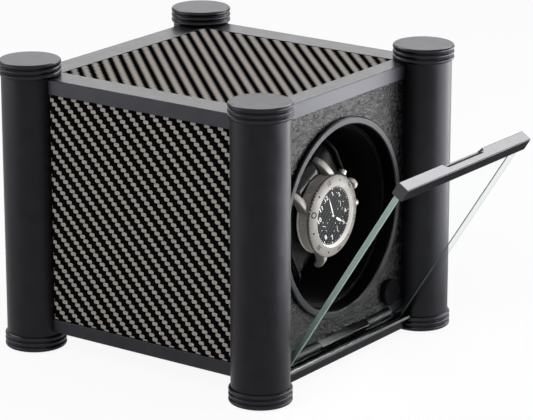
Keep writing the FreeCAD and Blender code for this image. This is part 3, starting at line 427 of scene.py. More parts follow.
def make_mesh(name, shells):
    """One mesh from several shells of points and blocks of faces, with every shell facing outwards."""
    starts = np.cumsum([0] + [len(points) for points, _ in shells])
    points = np.concatenate([points for points, _ in shells])
    faces = []
    for start, (_, blocks) in zip(starts, shells):
        for block in blocks:
            faces += (block + start).tolist()
    mesh = bpy.data.meshes.new(name)
    mesh.from_pydata(points.tolist(), [], faces)
    work = bmesh.new()
    work.from_mesh(mesh)
    bmesh.ops.recalc_face_normals(work, faces=work.faces)
    work.to_mesh(mesh)
    work.free()
    return mesh


def places(mesh):
    """Where a mesh's vertices are, one row for each."""
    points = np.empty(len(mesh.vertices) * 3)
    mesh.vertices.foreach_get("co", points)
    return points.reshape(-1, 3)


def place_piece(mesh, material, body, slot, crease=math.radians(35)):
    """Puts a finished mesh into the scene as a piece that rides on a body, with its material; the slot it is
    given is not used.
    """
    mesh.shade_smooth()
    mesh.set_sharp_from_angle(angle=crease)
    mesh.materials.append(material)
    piece = bpy.data.objects.new(mesh.name, mesh)
    bpy.context.scene.collection.objects.link(piece)
    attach(piece, body)
    return piece


def new_piece(name, shells, *finish):
    """Makes a piece of several shells: its finish is the material, the body, the slot, which is not used, and
    the crease.
    """
    return place_piece(make_mesh(name, shells), *finish)


def number_faces(mesh, numbers):
    """Says which of the mesh's materials each face has."""
    mesh.polygons.foreach_set("material_index", numbers.astype(np.int32))


def paint(material, *nodes):
    """Gives CAD nodes a finish in every slot they have."""
    for node in nodes:
        mesh = frame["nodes"][node].data
        for number in range(max(1, len(mesh.materials))):
            if number < len(mesh.materials):
                mesh.materials[number] = material
            else:
                mesh.materials.append(material)


def turned(profile, steps, ribs=0, depth=None):
    """A profile of (radius, along) rows turned round the axis; ribs add depth * cos(ribs * angle) to the
    radius."""
    profile = np.asarray(profile, float)
    angle = np.linspace(0, 2 * math.pi, steps, endpoint=False)
    radius = np.repeat(profile[:, :1], steps, axis=1)
    if ribs:
        radius = radius + np.asarray(depth, float)[:, None] * np.cos(ribs * angle)
    along = np.repeat(profile[:, 1:], steps, axis=1)
    return np.stack([radius * np.cos(angle), radius * np.sin(angle), along], -1)


def on_watch(points):
    """Carries (right, up, out) of the watch face to the frame: turned on the rotor's axis, out towards -Y."""
    right, up, out = np.moveaxis(np.asarray(points, float), -1, 0)
    x = right * math.cos(WATCH_TURN) - up * math.sin(WATCH_TURN)
    z = right * math.sin(WATCH_TURN) + up * math.cos(WATCH_TURN)
    return np.stack([x, -out, z + AXIS_HEIGHT], -1)


def swung(points, degrees):
    """Turns marks on the watch face clockwise about its axis."""
    x, y, z = np.moveaxis(points, -1, 0)
    cos, sin = math.cos(math.radians(degrees)), math.sin(math.radians(degrees))
    return np.stack([x * cos + y * sin, y * cos - x * sin, z], -1)


def watch_shell(points, **ways):
    """A shell over a grid that is drawn on the watch face."""
    return grid_shell(on_watch(points), **ways)


def numerals(text, height, thickness):
    """A plain number as a solid mesh, centred on the origin: its points and blocks of faces."""
    curve = bpy.data.curves.new("number", "FONT")
    curve.body, curve.size, curve.extrude = text, height, thickness / 2
    curve.align_x, curve.align_y, curve.resolution_u = "CENTER", "CENTER", 3
    holder = bpy.data.objects.new("number", curve)
    bpy.context.scene.collection.objects.link(holder)
    bpy.context.view_layer.update()
    mesh = bpy.data.meshes.new_from_object(holder.evaluated_get(bpy.context.evaluated_depsgraph_get()))
    points = places(mesh)
    blocks = [np.array([face.vertices]) for face in mesh.polygons]
    bpy.data.objects.remove(holder)
    bpy.data.curves.remove(curve)
    bpy.data.meshes.remove(mesh)
    return points, blocks


def rounded_rectangle(half_a, half_b, radius, steps):
    """A closed outline: four quarter circles of the radius, joined by straight sides."""
    angle = np.linspace(0, math.pi / 2, steps)[None, :] + np.arange(4)[:, None] * math.pi / 2
    centre_a = np.array([1, -1, -1, 1])[:, None] * (half_a - radius)
    centre_b = np.array([1, 1, -1, -1])[:, None] * (half_b - radius)
    outline = np.stack([centre_a + radius * np.cos(angle), centre_b + radius * np.sin(angle)], -1)
    return outline.reshape(-1, 2)


def even_loop(outline, count):
    """A closed outline walked in equal steps of its length."""
    closed = np.concatenate([outline, outline[:1]])
    run = np.concatenate([[0], np.cumsum(np.linalg.norm(np.diff(closed, axis=0), axis=1))])
    at = np.linspace(0, run[-1], count, endpoint=False)
    return np.stack([np.interp(at, run, closed[:, axis]) for axis in range(closed.shape[1])], -1)


def tube(path, radius, sides, closed):
    """A round section carried along a path: each point leaves it by radius * (cos * first + sin * second),
    where both are square to the path's direction."""
    ahead = np.roll(path, -1, axis=0) - np.roll(path, 1, axis=0) if closed else np.gradient(path, axis=0)
    ahead /= np.linalg.norm(ahead, axis=1, keepdims=True)
    centre = path - path.mean(axis=0)
    first = centre - (centre * ahead).sum(axis=1, keepdims=True) * ahead
    first /= np.linalg.norm(first, axis=1, keepdims=True)
    second = np.cross(ahead, first)
    angle = np.linspace(0, 2 * math.pi, sides, endpoint=False)[None, :, None]
    return path[:, None] + radius * (np.cos(angle) * first[:, None] + np.sin(angle) * second[:, None])


# One operator for each piece or group

class WINDER_OT_metalwork(bpy.types.Operator):
    """Anodises the columns, caps, feet, frames, ring and the door's metal, and finishes the painted plates"""
    bl_idname = "winder.metalwork"
    bl_label = "Metalwork"

    GRAIN, TURNING = 0.22 * MM, 0.12 * MM

    def execute(self, context):
        look = context.scene.winder_case
        rough, white = look.metal_roughness, (1, 1, 1, 1)
        posts = [f"_{end}_{side}" for end in ("front", "rear") for side in ("left", "right")]
        ends = [part + post for part in ("cap", "foot") for post in posts]
        columns = ["column" + post for post in posts]
        # finish, colour (the ribbed ends and the rails are lighter copies of the one anodised metal: painted
        # light), how much smoother it is, depth of its grain, spread of its tone, edge wear and painted
        # highlight, tint, nodes
        for name, rgb, smoother, depth, tone, worn, tint, nodes in (
                ("anodised_metal", look.metal, 0, 0.006, 0.10, 5.0, white,
                 (*columns, "hinge_barrel_left", "hinge_barrel_right")),
                # painted light: the ends and rails are lighter copies of the anodised metal, and the large
                # edge factors paint highlights on their edges
                ("ribbed_ends", scaled(look.metal, 1.3), 0.16, 0.004, 0.08, 5.0, (0.80, 0.80, 0.81, 1), ends),
                ("rail_metal", scaled(look.metal, 1.5), 0.12, 0.004, 0.08, 3.0, white,
                 ("top_frame", "bottom_frame")),
                ("door_metal", look.door_metal, 0.24, 0.0015, 0.08, 2.0, (0.36, 0.36, 0.37, 1),
                 ("door_handle", "door_bar"))):
            metal = grained(name, rgb, self.GRAIN, rough - smoother, depth * MM, look.edge, tone, worn,
                            Metallic=1.0, Specular_Tint=tint)
            paint(metal, *nodes)
        self.ring(look)
        plate = grained("black_sheet", (0.02, 0.02, 0.021), 0.45 * MM, 0.52, 0.05 * MM, 0.3 * MM, worn=2.2)
        paint(plate, "back_panel", "bottom_plate")
        return {"FINISHED"}

    def ring(self, look):
        """Gives the ring round the opening its turning marks, a painted shade that keeps it darker than the
        frame's anodised metal, and a painted highlight on its edges.
        """
        ring, tree, shader, place = new_finish("turned_ring", Metallic=1.0)
        marks = use(tree, lathe_effect, place, self.TURNING)
        soft = use(tree, edge_effect, place, look.edge)
        tone = spread(tree, marks["Height"], 0.0, 1.0)
        # painted shade: the ring is a darker copy of the anodised metal, varied by its turning marks
        base = blend_colour(tree, tone, opaque(look.metal, 0.5), opaque(look.metal, 0.8))
        # painted highlight: the edges are nine times lighter than the metal
        base = blend_colour(tree, soft["Wear"], base, opaque(look.metal, 9.0))
        rough = look.metal_roughness
        cover(tree, shader, base, spread(tree, marks["Tone"], rough - 0.14, rough - 0.08))
        bump(tree, shader, marks["Height"], 0.006 * MM, normal=soft["Normal"])
        paint(ring, "bezel_ring")


class WINDER_OT_carbon(bpy.types.Operator):
    """Gives the top and the two sides their carbon twill"""
    bl_idname = "winder.carbon"
    bl_label = "Carbon panels"

    def execute(self, context):
        look = context.scene.winder_case
        # finish, the axes across and along the weave, trim of the light tows, how much lighter their painted
        # sheen is (the top's is a lit copy of the sides': painted light), nodes
        for name, across, along, trim, lift, nodes in (
                ("carbon_side", 1, 2, 0.34, 1.0, ("side_panel_left", "side_panel_right")),
                ("carbon_top", 0, 1, 0.04, 1.35, ("top_panel",))):
            material, tree, shader, place = new_finish(name, Specular_IOR_Level=0.0)
            spot = add(tree, "SeparateXYZ", {0: place}).outputs
            weave = use(tree, twill_effect, spot[across], spot[along], look.tow, trim)
            mottle = use(tree, grain_effect, place, 0.3 * MM)
            strand = remap(tree, weave["Fibre"], 0.25, 0.75, 0.0, 1.0)
            # painted sheen on the tows that lie across, painted lighter still on the top
            light = blend_colour(tree, strand, opaque(look.carbon_sheen_tow, 0.72 * lift),
                                 opaque(look.carbon_sheen_tow, 1.12 * lift))
            # painted highlight: the dark tows are lighter on the crown of each float
            dark = blend_colour(tree, calc(tree, "MULTIPLY", strand, weave["Height"]),
                                opaque(look.carbon_dark, 0.6), opaque(look.carbon_dark, 2.6))
            base = blend_colour(tree, weave["Light"], dark, light)
            cover(tree, shader, base, spread(tree, mottle["Tone"], 0.34, 0.46))
            bump(tree, shader, weave["Height"], 0.05 * MM, 0.6)
            paint(material, *nodes)
        return {"FINISHED"}


class WINDER_OT_front_leather(bpy.types.Operator):
    """Covers the front with pebbled leather and finishes the board under it"""
    bl_idname = "winder.front_leather"
    bl_label = "Front leather"

    def execute(self, context):
        look = context.scene.winder_case
        paint(leather("front_leather", look.leather, look.pebble, 0.22, 0.13 * MM, (1.0, 1.0, 1.9),
                      Specular_IOR_Level=0.10), "front_leather")
        board, tree, shader, place = new_finish("fibre_board")
        fibre = use(tree, grain_effect, place, 0.5 * MM)
        base = blend_colour(tree, fibre["Height"], (0.20, 0.12, 0.06, 1), (0.42, 0.29, 0.17, 1))
        cover(tree, shader, base, spread(tree, fibre["Tone"], 0.72, 0.85))
        bump(tree, shader, fibre["Height"], 0.08 * MM)
        paint(board, "front_board")
        return {"FINISHED"}


class WINDER_OT_drive(bpy.types.Operator):
    """Finishes the rotor's cup, the drive behind it, the electrics and the fixings"""
    bl_idname = "winder.drive"
    bl_label = "Drive and fixings"

    METAL = {"Metallic": 1.0}
    # finish, colour, grain in mm, roughness, depth of the grain and round of the edges in mm, more, nodes
    FINISHES = (
        ("black_moulded", (0.012, 0.012, 0.013), 0.35, 0.55, 0.03, 0.25, {},
         "cushion_cradle selector_switch power_inlet inlet_nut handle_bumpers"),
        ("flocked_black", (0.002, 0.002, 0.002), 0.15, 0.9, 0.05, 0, {"Specular_IOR_Level": 0.05},
         "rotor_cup"),
        ("knob_black", (0.0025, 0.0025, 0.003), 0.5, 0.2, 0.002, 0.3, {"Specular_IOR_Level": 0.006},
         "selector_knob"),
        ("pad_rubber", (0.016, 0.016, 0.016), 0.4, 0.82, 0.05, 0, {}, "foot_pads"),
        ("turned_steel", (0.56, 0.55, 0.53), 0.2, 0.30, 0.006, 0.15, {"worn": 1.3, **METAL},
         "rotor_spindle spindle_clip tie_rods machine_screws corner_screws hinge_screws rotor_screws "
         "hinge_pin glass_grub_screws catch_magnets board_standoffs"),
        ("milled_aluminium", (0.62, 0.63, 0.64), 0.3, 0.36, 0.008, 0.2, {"worn": 1.2, **METAL},
         "drive_plate bearing_housing gear_motor"),
        ("gear_plastic", (0.62, 0.60, 0.53), 0.5, 0.45, 0.01, 0.15, {"worn": 1.1}, "driven_gear"),
        ("turned_brass", (0.66, 0.47, 0.17), 0.2, 0.28, 0.006, 0.1, {"worn": 1.3, **METAL},
         "motor_pinion spindle_bushes"),
        ("board_green", (0.012, 0.085, 0.035), 0.4, 0.34, 0.01, 0, {"tone": 0.3}, "control_board"),
        ("board_parts", (0.018, 0.018, 0.020), 0.3, 0.5, 0.01, 0, {}, "board_parts"),
        ("wire_cover", (0.30, 0.02, 0.015), 0.4, 0.42, 0.01, 0, {}, "wiring"))

    def execute(self, context):
        for name, rgb, grain, rough, depth, edge, more, nodes in self.FINISHES:
            paint(grained(name, rgb, grain * MM, rough, depth * MM, edge * MM, **more), *nodes.split())
        return {"FINISHED"}


class WINDER_OT_back_screws(bpy.types.Operator):
    """Makes the back panel's button-head screws with their hexagon sockets"""
    bl_idname = "winder.back_screws"
    bl_label = "Back screws"

    HEAD = 2.75 * MM

    def execute(self, context):
        low, high = node_box("back_panel_screws")
        panel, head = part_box("back_panel")[1][1], self.HEAD
        shells = [self.screw(np.array([x, panel, z]), head, high[1] - panel, panel - low[1])
                  for x in (low[0] + head, high[0] - head) for z in (low[2] + head, high[2] - head)]
        steel = grained("black_steel", (0.045, 0.045, 0.047), 0.2 * MM, 0.34, 0.006 * MM, 0.1 * MM, worn=2.0,
                        Metallic=1.0)
        heads = new_piece("back_screw_heads", shells, steel, "case", "plain_steel", math.radians(28))
        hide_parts("back_panel_screws")
        return {"FINISHED"}

    def screw(self, seat, head, proud, shank):
        """Rings of (radius, height, hexagon share): the radius of a hexagon at an angle t is its flat
        distance over cos(t folded into 30 degrees either way), and each ring mixes that with a circle."""
        rise = proud / head
        rings = np.array([(0.45, -shank / head, 0), (0.45, 0, 0), (1, 0, 0), (1, 0.25 * rise, 0),
                          (0.86, 0.74 * rise, 0), (0.66, rise, 0), (0.50, rise, 1), (0.47, 0.92 * rise, 1),
                          (0.46, 0.2 * rise, 1), (0.12, 0.12 * rise, 0)])
        angle = np.linspace(0, 2 * math.pi, 48, endpoint=False)
        fold = np.mod(angle + math.pi / 6, math.pi / 3) - math.pi / 6
        radius = rings[:, :1] * ((1 - rings[:, 2:]) + rings[:, 2:] / np.cos(fold)) * head
        along = np.repeat(rings[:, 1:2] * head, len(angle), axis=1)
        return grid_shell(seat + np.stack([radius * np.cos(angle), along, radius * np.sin(angle)], -1))


class WINDER_OT_pane(bpy.types.Operator):
    """Makes the door's pane with ground edges, tilted as the door stands"""
    bl_idname = "winder.pane"
    bl_label = "Door pane"

    OUT, THICK, LOW, HIGH = 2.7 * MM, 3.3 * MM, -6.4 * MM, 129.0 * MM
    TILT = math.radians(32.7)
    # the materials of the inner arris, the edge and the outer arris
    EDGE_FINISHES = (2, 1, 3)

    def execute(self, context):
        look = context.scene.winder_door
        low, high = node_box("door_glass")
        hinge = next(joint for joint in frame["joints"] if joint["name"] == "door_hinge")["pos_m"]
        half, middle = (high[0] - low[0]) / 2, (self.LOW + self.HIGH) / 2
        outline = [rounded_rectangle(half - inset, self.HIGH - middle - inset, look.corner, 6)
                   for inset in (look.arris, 0, 0, look.arris)]
        depth = [self.OUT, self.OUT + look.arris, self.OUT + self.THICK - look.arris, self.OUT + self.THICK]
        # across, up the door and out of the door, then tilted about the hinge
        across = np.stack([ring[:, 0] for ring in outline])
        up = np.stack([ring[:, 1] for ring in outline]) + middle
        out = np.repeat(np.array(depth)[:, None], across.shape[1], axis=1)
        y = hinge[1] - out * math.cos(self.TILT) - up * math.sin(self.TILT)
        z = hinge[2] - out * math.sin(self.TILT) + up * math.cos(self.TILT)
        mesh = make_mesh("door_pane", [grid_shell(np.stack([across, y, z], -1))])
        glass = clear_glass("clear_glass", 0.8 * MM, (0.97, 0.985, 0.98, 1), (0.99, 0.995, 0.993, 1),
                            (0.95, 0.97, 0.96, 1), IOR=1.0)
        pane = place_piece(mesh, glass, "door", "clear_glass", math.radians(20))
        # the arrises are paler: partly ground glass, partly painted highlight
        pale = scaled(look.edge_colour, 1.8)
        # finish, colour, how clear it is from inside the pane, and for how much of it
        for edge in (("pane_edge", look.edge_colour, 0.86, 1.0), ("pane_inner_arris", pale, 0.12, 0.84),
                     ("pane_outer_arris", pale, 0.7, 1.0)):
            mesh.materials.append(self.ground_edge(*edge))
        band = across.shape[1]
        numbers = np.zeros(len(mesh.polygons))
        numbers[:len(self.EDGE_FINISHES) * band] = np.repeat(self.EDGE_FINISHES, band)
        number_faces(mesh, numbers)
        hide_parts("door_glass")
        return {"FINISHED"}

    def ground_edge(self, name, rgb, clear, share_clear):
        """The pane's ground and polished edge, green, and painted lighter towards the handle as painted
        light; seen from inside the pane a share of it is clear."""
        material, tree, shader, place = new_finish(name, Coat_Weight=0.2, Coat_Roughness=0.1)
        mark = use(tree, grain_effect, place, 0.3 * MM)
        low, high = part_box("door_glass")
        height = add(tree, "SeparateXYZ", {0: place}).outputs[2]
        # painted light: the edge grows lighter towards the top, where the handle is
        rise = remap(tree, height, low[2], high[2], 0.0, 0.85)
        tone = calc(tree, "MULTIPLY_ADD", mark["Tone"], 0.3, rise)
        base = blend_colour(tree, tone, opaque(rgb, 0.55), opaque(rgb, 1.4))
        cover(tree, shader, base, spread(tree, mark["Height"], 0.22, 0.34))
        bump(tree, shader, mark["Height"], 0.005 * MM)
        through = add(tree, "BsdfTransparent", {0: (clear, 1.04 * clear, 1.03 * clear, 1)}).outputs[0]
        inside = calc(tree, "MULTIPLY", add(tree, "NewGeometry").outputs["Backfacing"], share_clear)
        mix_surface(tree, inside, shader.outputs[0], through)
        return material


class WINDER_OT_cushion(bpy.types.Operator):
    """Fills the leather cushion by cloth simulation and pipes its two end seams"""
    bl_idname = "winder.cushion"
    bl_label = "Cushion"

    WORK_SCALE, LAST_FRAME = 10.0, 24
    EVEN_STEP, SEAM_REACH, ROUND_END = 1.7 * MM, 1.2 * MM, 4 * MM
    STRAP_ROOM, UNDER_STRAP, OVER_OUTLINE = 12 * MM, -0.1 * MM, 0.5 * MM
    NEVER_ZERO = 1e-9

    def execute(self, context):
        look = context.scene.winder_cushion
        skin = leather("cushion_leather", look.leather, look.pebble, 0.36, 0.10 * MM, Specular_IOR_Level=0.06)
        mesh = self.filled(context, look)
        cushion = place_piece(mesh, skin, "rotor", "cushion_leather", math.pi)
        smooth = cushion.modifiers.new("smooth", "SUBSURF")
        smooth.levels = smooth.render_levels = 1
        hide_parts("watch_cushion")
        shells = []
        for side in (-1, 1):
            ring = even_loop(self.section(look.slack * 0.35, 20), 240)
            at = np.full(len(ring), side * (CUSHION_HALF_LENGTH - 1.6 * look.piping))
            path = np.stack([at, ring[:, 0], ring[:, 1]], -1)
            shells.append(watch_shell(tube(path, look.piping, 12, True), wrap_rows=True))
        new_piece("cushion_piping", shells, skin, "rotor", "cushion_leather")
        return {"FINISHED"}

    def section(self, inset, steps):
        """The cushion's rounded section, (up, out), drawn in by an inset."""
        halves = (CUSHION_HALF_HEIGHT - inset, CUSHION_HALF_DEPTH - inset)
        return rounded_rectangle(*halves, CUSHION_CORNER - inset, steps) + [0, CUSHION_MIDDLE]

    def filled(self, context, look):
        """The section carried along the cushion, drawn in near both ends by 1 - sqrt(1 - t^2) of a small
        round, then blown up as cloth that is held along its two end seams."""
        count, rows = 96, 25
        half = CUSHION_HALF_LENGTH - look.slack * 0.5
        along = half * np.sin(np.linspace(-math.pi / 2, math.pi / 2, rows))
        near = np.clip((np.abs(along) - (half - self.ROUND_END)) / self.ROUND_END, 0, 1)
        draw = look.slack + self.ROUND_END * (1 - np.sqrt(1 - near ** 2))
        outline = even_loop(self.section(look.slack, 16), count)
        middle = np.array([0, CUSHION_MIDDLE])
        spokes = outline - middle
        length = np.linalg.norm(spokes, axis=1, keepdims=True)
        rings = middle + spokes[None] * (1 - (draw - look.slack)[:, None, None] / length[None])
        points = np.concatenate([np.repeat(along[:, None, None], count, axis=1), rings], -1)
        mesh = make_mesh("cushion_body", [grid_shell(points)])
        return self.settle(context, look, mesh)

    def settle(self, context, look, mesh):
        """Runs the filling and keeps every point inside the room the cushion has."""
        holder = bpy.data.objects.new("cushion_work", mesh)
        context.scene.collection.objects.link(holder)
        remesh = holder.modifiers.new("even", "REMESH")
        remesh.mode, remesh.voxel_size = "VOXEL", self.EVEN_STEP
        bpy.context.view_layer.update()
        even = bpy.data.meshes.new_from_object(holder.evaluated_get(context.evaluated_depsgraph_get()))
        holder.modifiers.clear()
        holder.data = even
        bpy.data.meshes.remove(mesh)
        even.name = "cushion_body"
        start = places(even)
        end = self.blown(context, look, holder, start)
        move = end - start
        far = np.linalg.norm(move, axis=1, keepdims=True)
        end = start + move * np.minimum(1, look.swell / np.maximum(far, self.NEVER_ZERO))
        bpy.data.objects.remove(holder)
        even.vertices.foreach_set("co", on_watch(self.kept_inside(end)).ravel())
        even.update()
        return even

    def blown(self, context, look, holder, start):
        """Cloth with pressure and no weight, worked at a larger size so that the fabric's forces suit it."""
        holder.data.vertices.foreach_set("co", (start * self.WORK_SCALE).ravel())
        seam = holder.vertex_groups.new(name="seam")
        held = np.abs(np.abs(start[:, 0]) - (CUSHION_HALF_LENGTH - look.slack)) < self.SEAM_REACH
        seam.add(np.nonzero(held)[0].tolist(), 1.0, "REPLACE")
        cloth = holder.modifiers.new("filling", "CLOTH")
        cloth.settings.use_pressure = True
        cloth.settings.uniform_pressure_force = look.pressure
        cloth.settings.vertex_group_mass = "seam"
        cloth.settings.effector_weights.gravity = 0
        cloth.point_cache.frame_start, cloth.point_cache.frame_end = 1, self.LAST_FRAME
        for number in range(1, self.LAST_FRAME + 1):
            context.scene.frame_set(number)
        done = holder.evaluated_get(context.evaluated_depsgraph_get()).to_mesh()
        end = places(done) / self.WORK_SCALE
        holder.modifiers.clear()
        context.scene.frame_set(1)
        return end

    def kept_inside(self, points):
        """Draws a point back to just over the cushion's outline, and under it where the strap goes round."""
        right, up, out = points.T
        middle, depth = CUSHION_MIDDLE, CUSHION_HALF_DEPTH
        away_up = np.abs(up) - (CUSHION_HALF_HEIGHT - CUSHION_CORNER)
        away_out = np.abs(out - middle) - (depth - CUSHION_CORNER)
        outside = np.hypot(np.maximum(away_up, 0), np.maximum(away_out, 0))
        under_strap = np.abs(right) < self.STRAP_ROOM
        allowed = CUSHION_CORNER + np.where(under_strap, self.UNDER_STRAP, self.OVER_OUTLINE)
        pull = np.minimum(1, allowed / np.maximum(outside, self.NEVER_ZERO))
        new_up = away_up * pull + CUSHION_HALF_HEIGHT - CUSHION_CORNER
        up = np.sign(up) * np.where(away_up > 0, new_up, np.abs(up))
        new_out = away_out * pull + depth - CUSHION_CORNER
        out = middle + np.sign(out - middle) * np.where(away_out > 0, new_out, np.abs(out - middle))
        right = np.clip(right, -CUSHION_HALF_LENGTH, CUSHION_HALF_LENGTH)
        return np.stack([right, up, out], -1)


class WINDER_OT_strap(bpy.types.Operator):
    """Lays the watch's padded strap round the cushion, with its middle groove and its stitches"""
    bl_idname = "winder.strap"
    bl_label = "Strap"

    GAP, ROOM, BEND, STEPS = 0.35 * MM, 22.0 * MM, 7.0 * MM, 720
    STRAIGHT_TO, GROOVE_DEPTH, GROOVE_WIDTH = 26 * MM, 0.5 * MM, 0.45 * MM
    THREAD_RADIUS, THREAD_PLACE, THREAD_HEIGHT = 0.22 * MM, 0.86, 0.80

    def execute(self, context):
        look = context.scene.winder_cushion
        mesh = make_mesh("strap_band", [grid_shell(self.band(look))])
        skin = grained("strap_leather", look.strap, 0.5 * MM, 0.15, 0.002 * MM, tone=0.3,
                       Specular_IOR_Level=0.22)
        strap = place_piece(mesh, skin, "rotor", "strap_leather")
        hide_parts("watch_strap")
        thread = grained("strap_thread", (0.03, 0.03, 0.032), 0.12 * MM, 0.6, 0.03 * MM)
        new_piece("strap_stitches", self.stitches(look), thread, "rotor", "strap_leather")
        return {"FINISHED"}

    def path(self):
        """The way from lug to lug behind the cushion: its outline with tighter bends, opened at its front
        middle. Gives points (up, out) and the outward way at each."""
        outline = rounded_rectangle(CUSHION_HALF_HEIGHT, CUSHION_HALF_DEPTH, self.BEND, 24)
        loop = even_loop(outline, self.STEPS) + [0, CUSHION_MIDDLE]
        front = np.argmin(np.abs(loop[:, 0]) - 10 * (loop[:, 1] - CUSHION_FRONT))
        loop = np.roll(loop, -front, axis=0)
        ahead = np.roll(loop, -1, axis=0) - np.roll(loop, 1, axis=0)
        ahead /= np.linalg.norm(ahead, axis=1, keepdims=True)
        out = np.stack([ahead[:, 1], -ahead[:, 0]], -1)
        inward = (out * (loop - [0, CUSHION_MIDDLE])).sum() < 0
        return loop, -out if inward else out

    def laid(self, run, across, height):
        """Points at a run along the path (0 to 1), a place across the strap and a height over the cushion."""
        loop, out = self.path()
        at = np.linspace(0, 1, len(loop), endpoint=False)
        base_up, base_out, way_up, way_out = (np.interp(run, at, column, period=1)
                                              for column in (*loop.T, *out.T))
        return on_watch(np.stack([across, base_up + height * way_up, base_out + height * way_out], -1))

    def ends(self, across):
        """The strap ends at the round of the case: its run starts where up^2 + across^2 is the case's room
        squared."""
        loop, _ = self.path()
        half = len(loop) // 2
        up = np.abs(loop[:half, 0])
        first = np.argmax(up > self.STRAIGHT_TO)
        return np.interp(np.sqrt(self.ROOM ** 2 - across ** 2), up[:first], np.arange(first) / len(loop))

    def band(self, look):
        """The strap's section, crowned outside with a groove along its middle and round at its edges,
        carried along the path: outer height is thickness * (1 - 0.5 * s^6) less a narrow bell at s = 0."""
        s = np.sin(np.linspace(-math.pi / 2, math.pi / 2, 41))
        groove = self.GROOVE_DEPTH * np.exp(-((s * look.strap_half_width) / self.GROOVE_WIDTH) ** 2)
        outer = look.strap_thickness * (1 - 0.5 * s ** 6) - groove
        inner = np.linspace(0.96, -0.96, 9)
        across = np.concatenate([s, inner]) * look.strap_half_width
        height = self.GAP + np.concatenate([outer, np.zeros(9)])
        start = self.ends(across)
        t = np.linspace(0, 1, 241)[:, None]
        run = start[None] + t * (1 - 2 * start[None])
        return self.laid(run, np.broadcast_to(across, run.shape), np.broadcast_to(height, run.shape))

    def stitches(self, look):
        """Short threads along both edges: each a tube whose radius swells as the sine of its length."""
        start = float(self.ends(np.zeros(1))[0]) + 0.02
        loop, _ = self.path()
        whole = np.linalg.norm(np.diff(loop, axis=0), axis=1).sum()
        pitch = 1.5 * look.stitch / whole
        centres = np.arange(start, 1 - start, pitch)
        t = np.linspace(0.08, 0.92, 5)[:, None]
        angle = np.linspace(0, 2 * math.pi, 6, endpoint=False)[None]
        radius = self.THREAD_RADIUS * np.sin(math.pi * t)
        shells = []
        for side in (-1, 1):
            for centre in centres:
                run = centre + (t - 0.5) * look.stitch / whole + 0 * angle
                across = side * self.THREAD_PLACE * look.strap_half_width + radius * np.cos(angle)
                height = self.GAP + self.THREAD_HEIGHT * look.strap_thickness + radius * np.sin(angle)
                shells.append(grid_shell(self.laid(run, across, height)))
        return shells


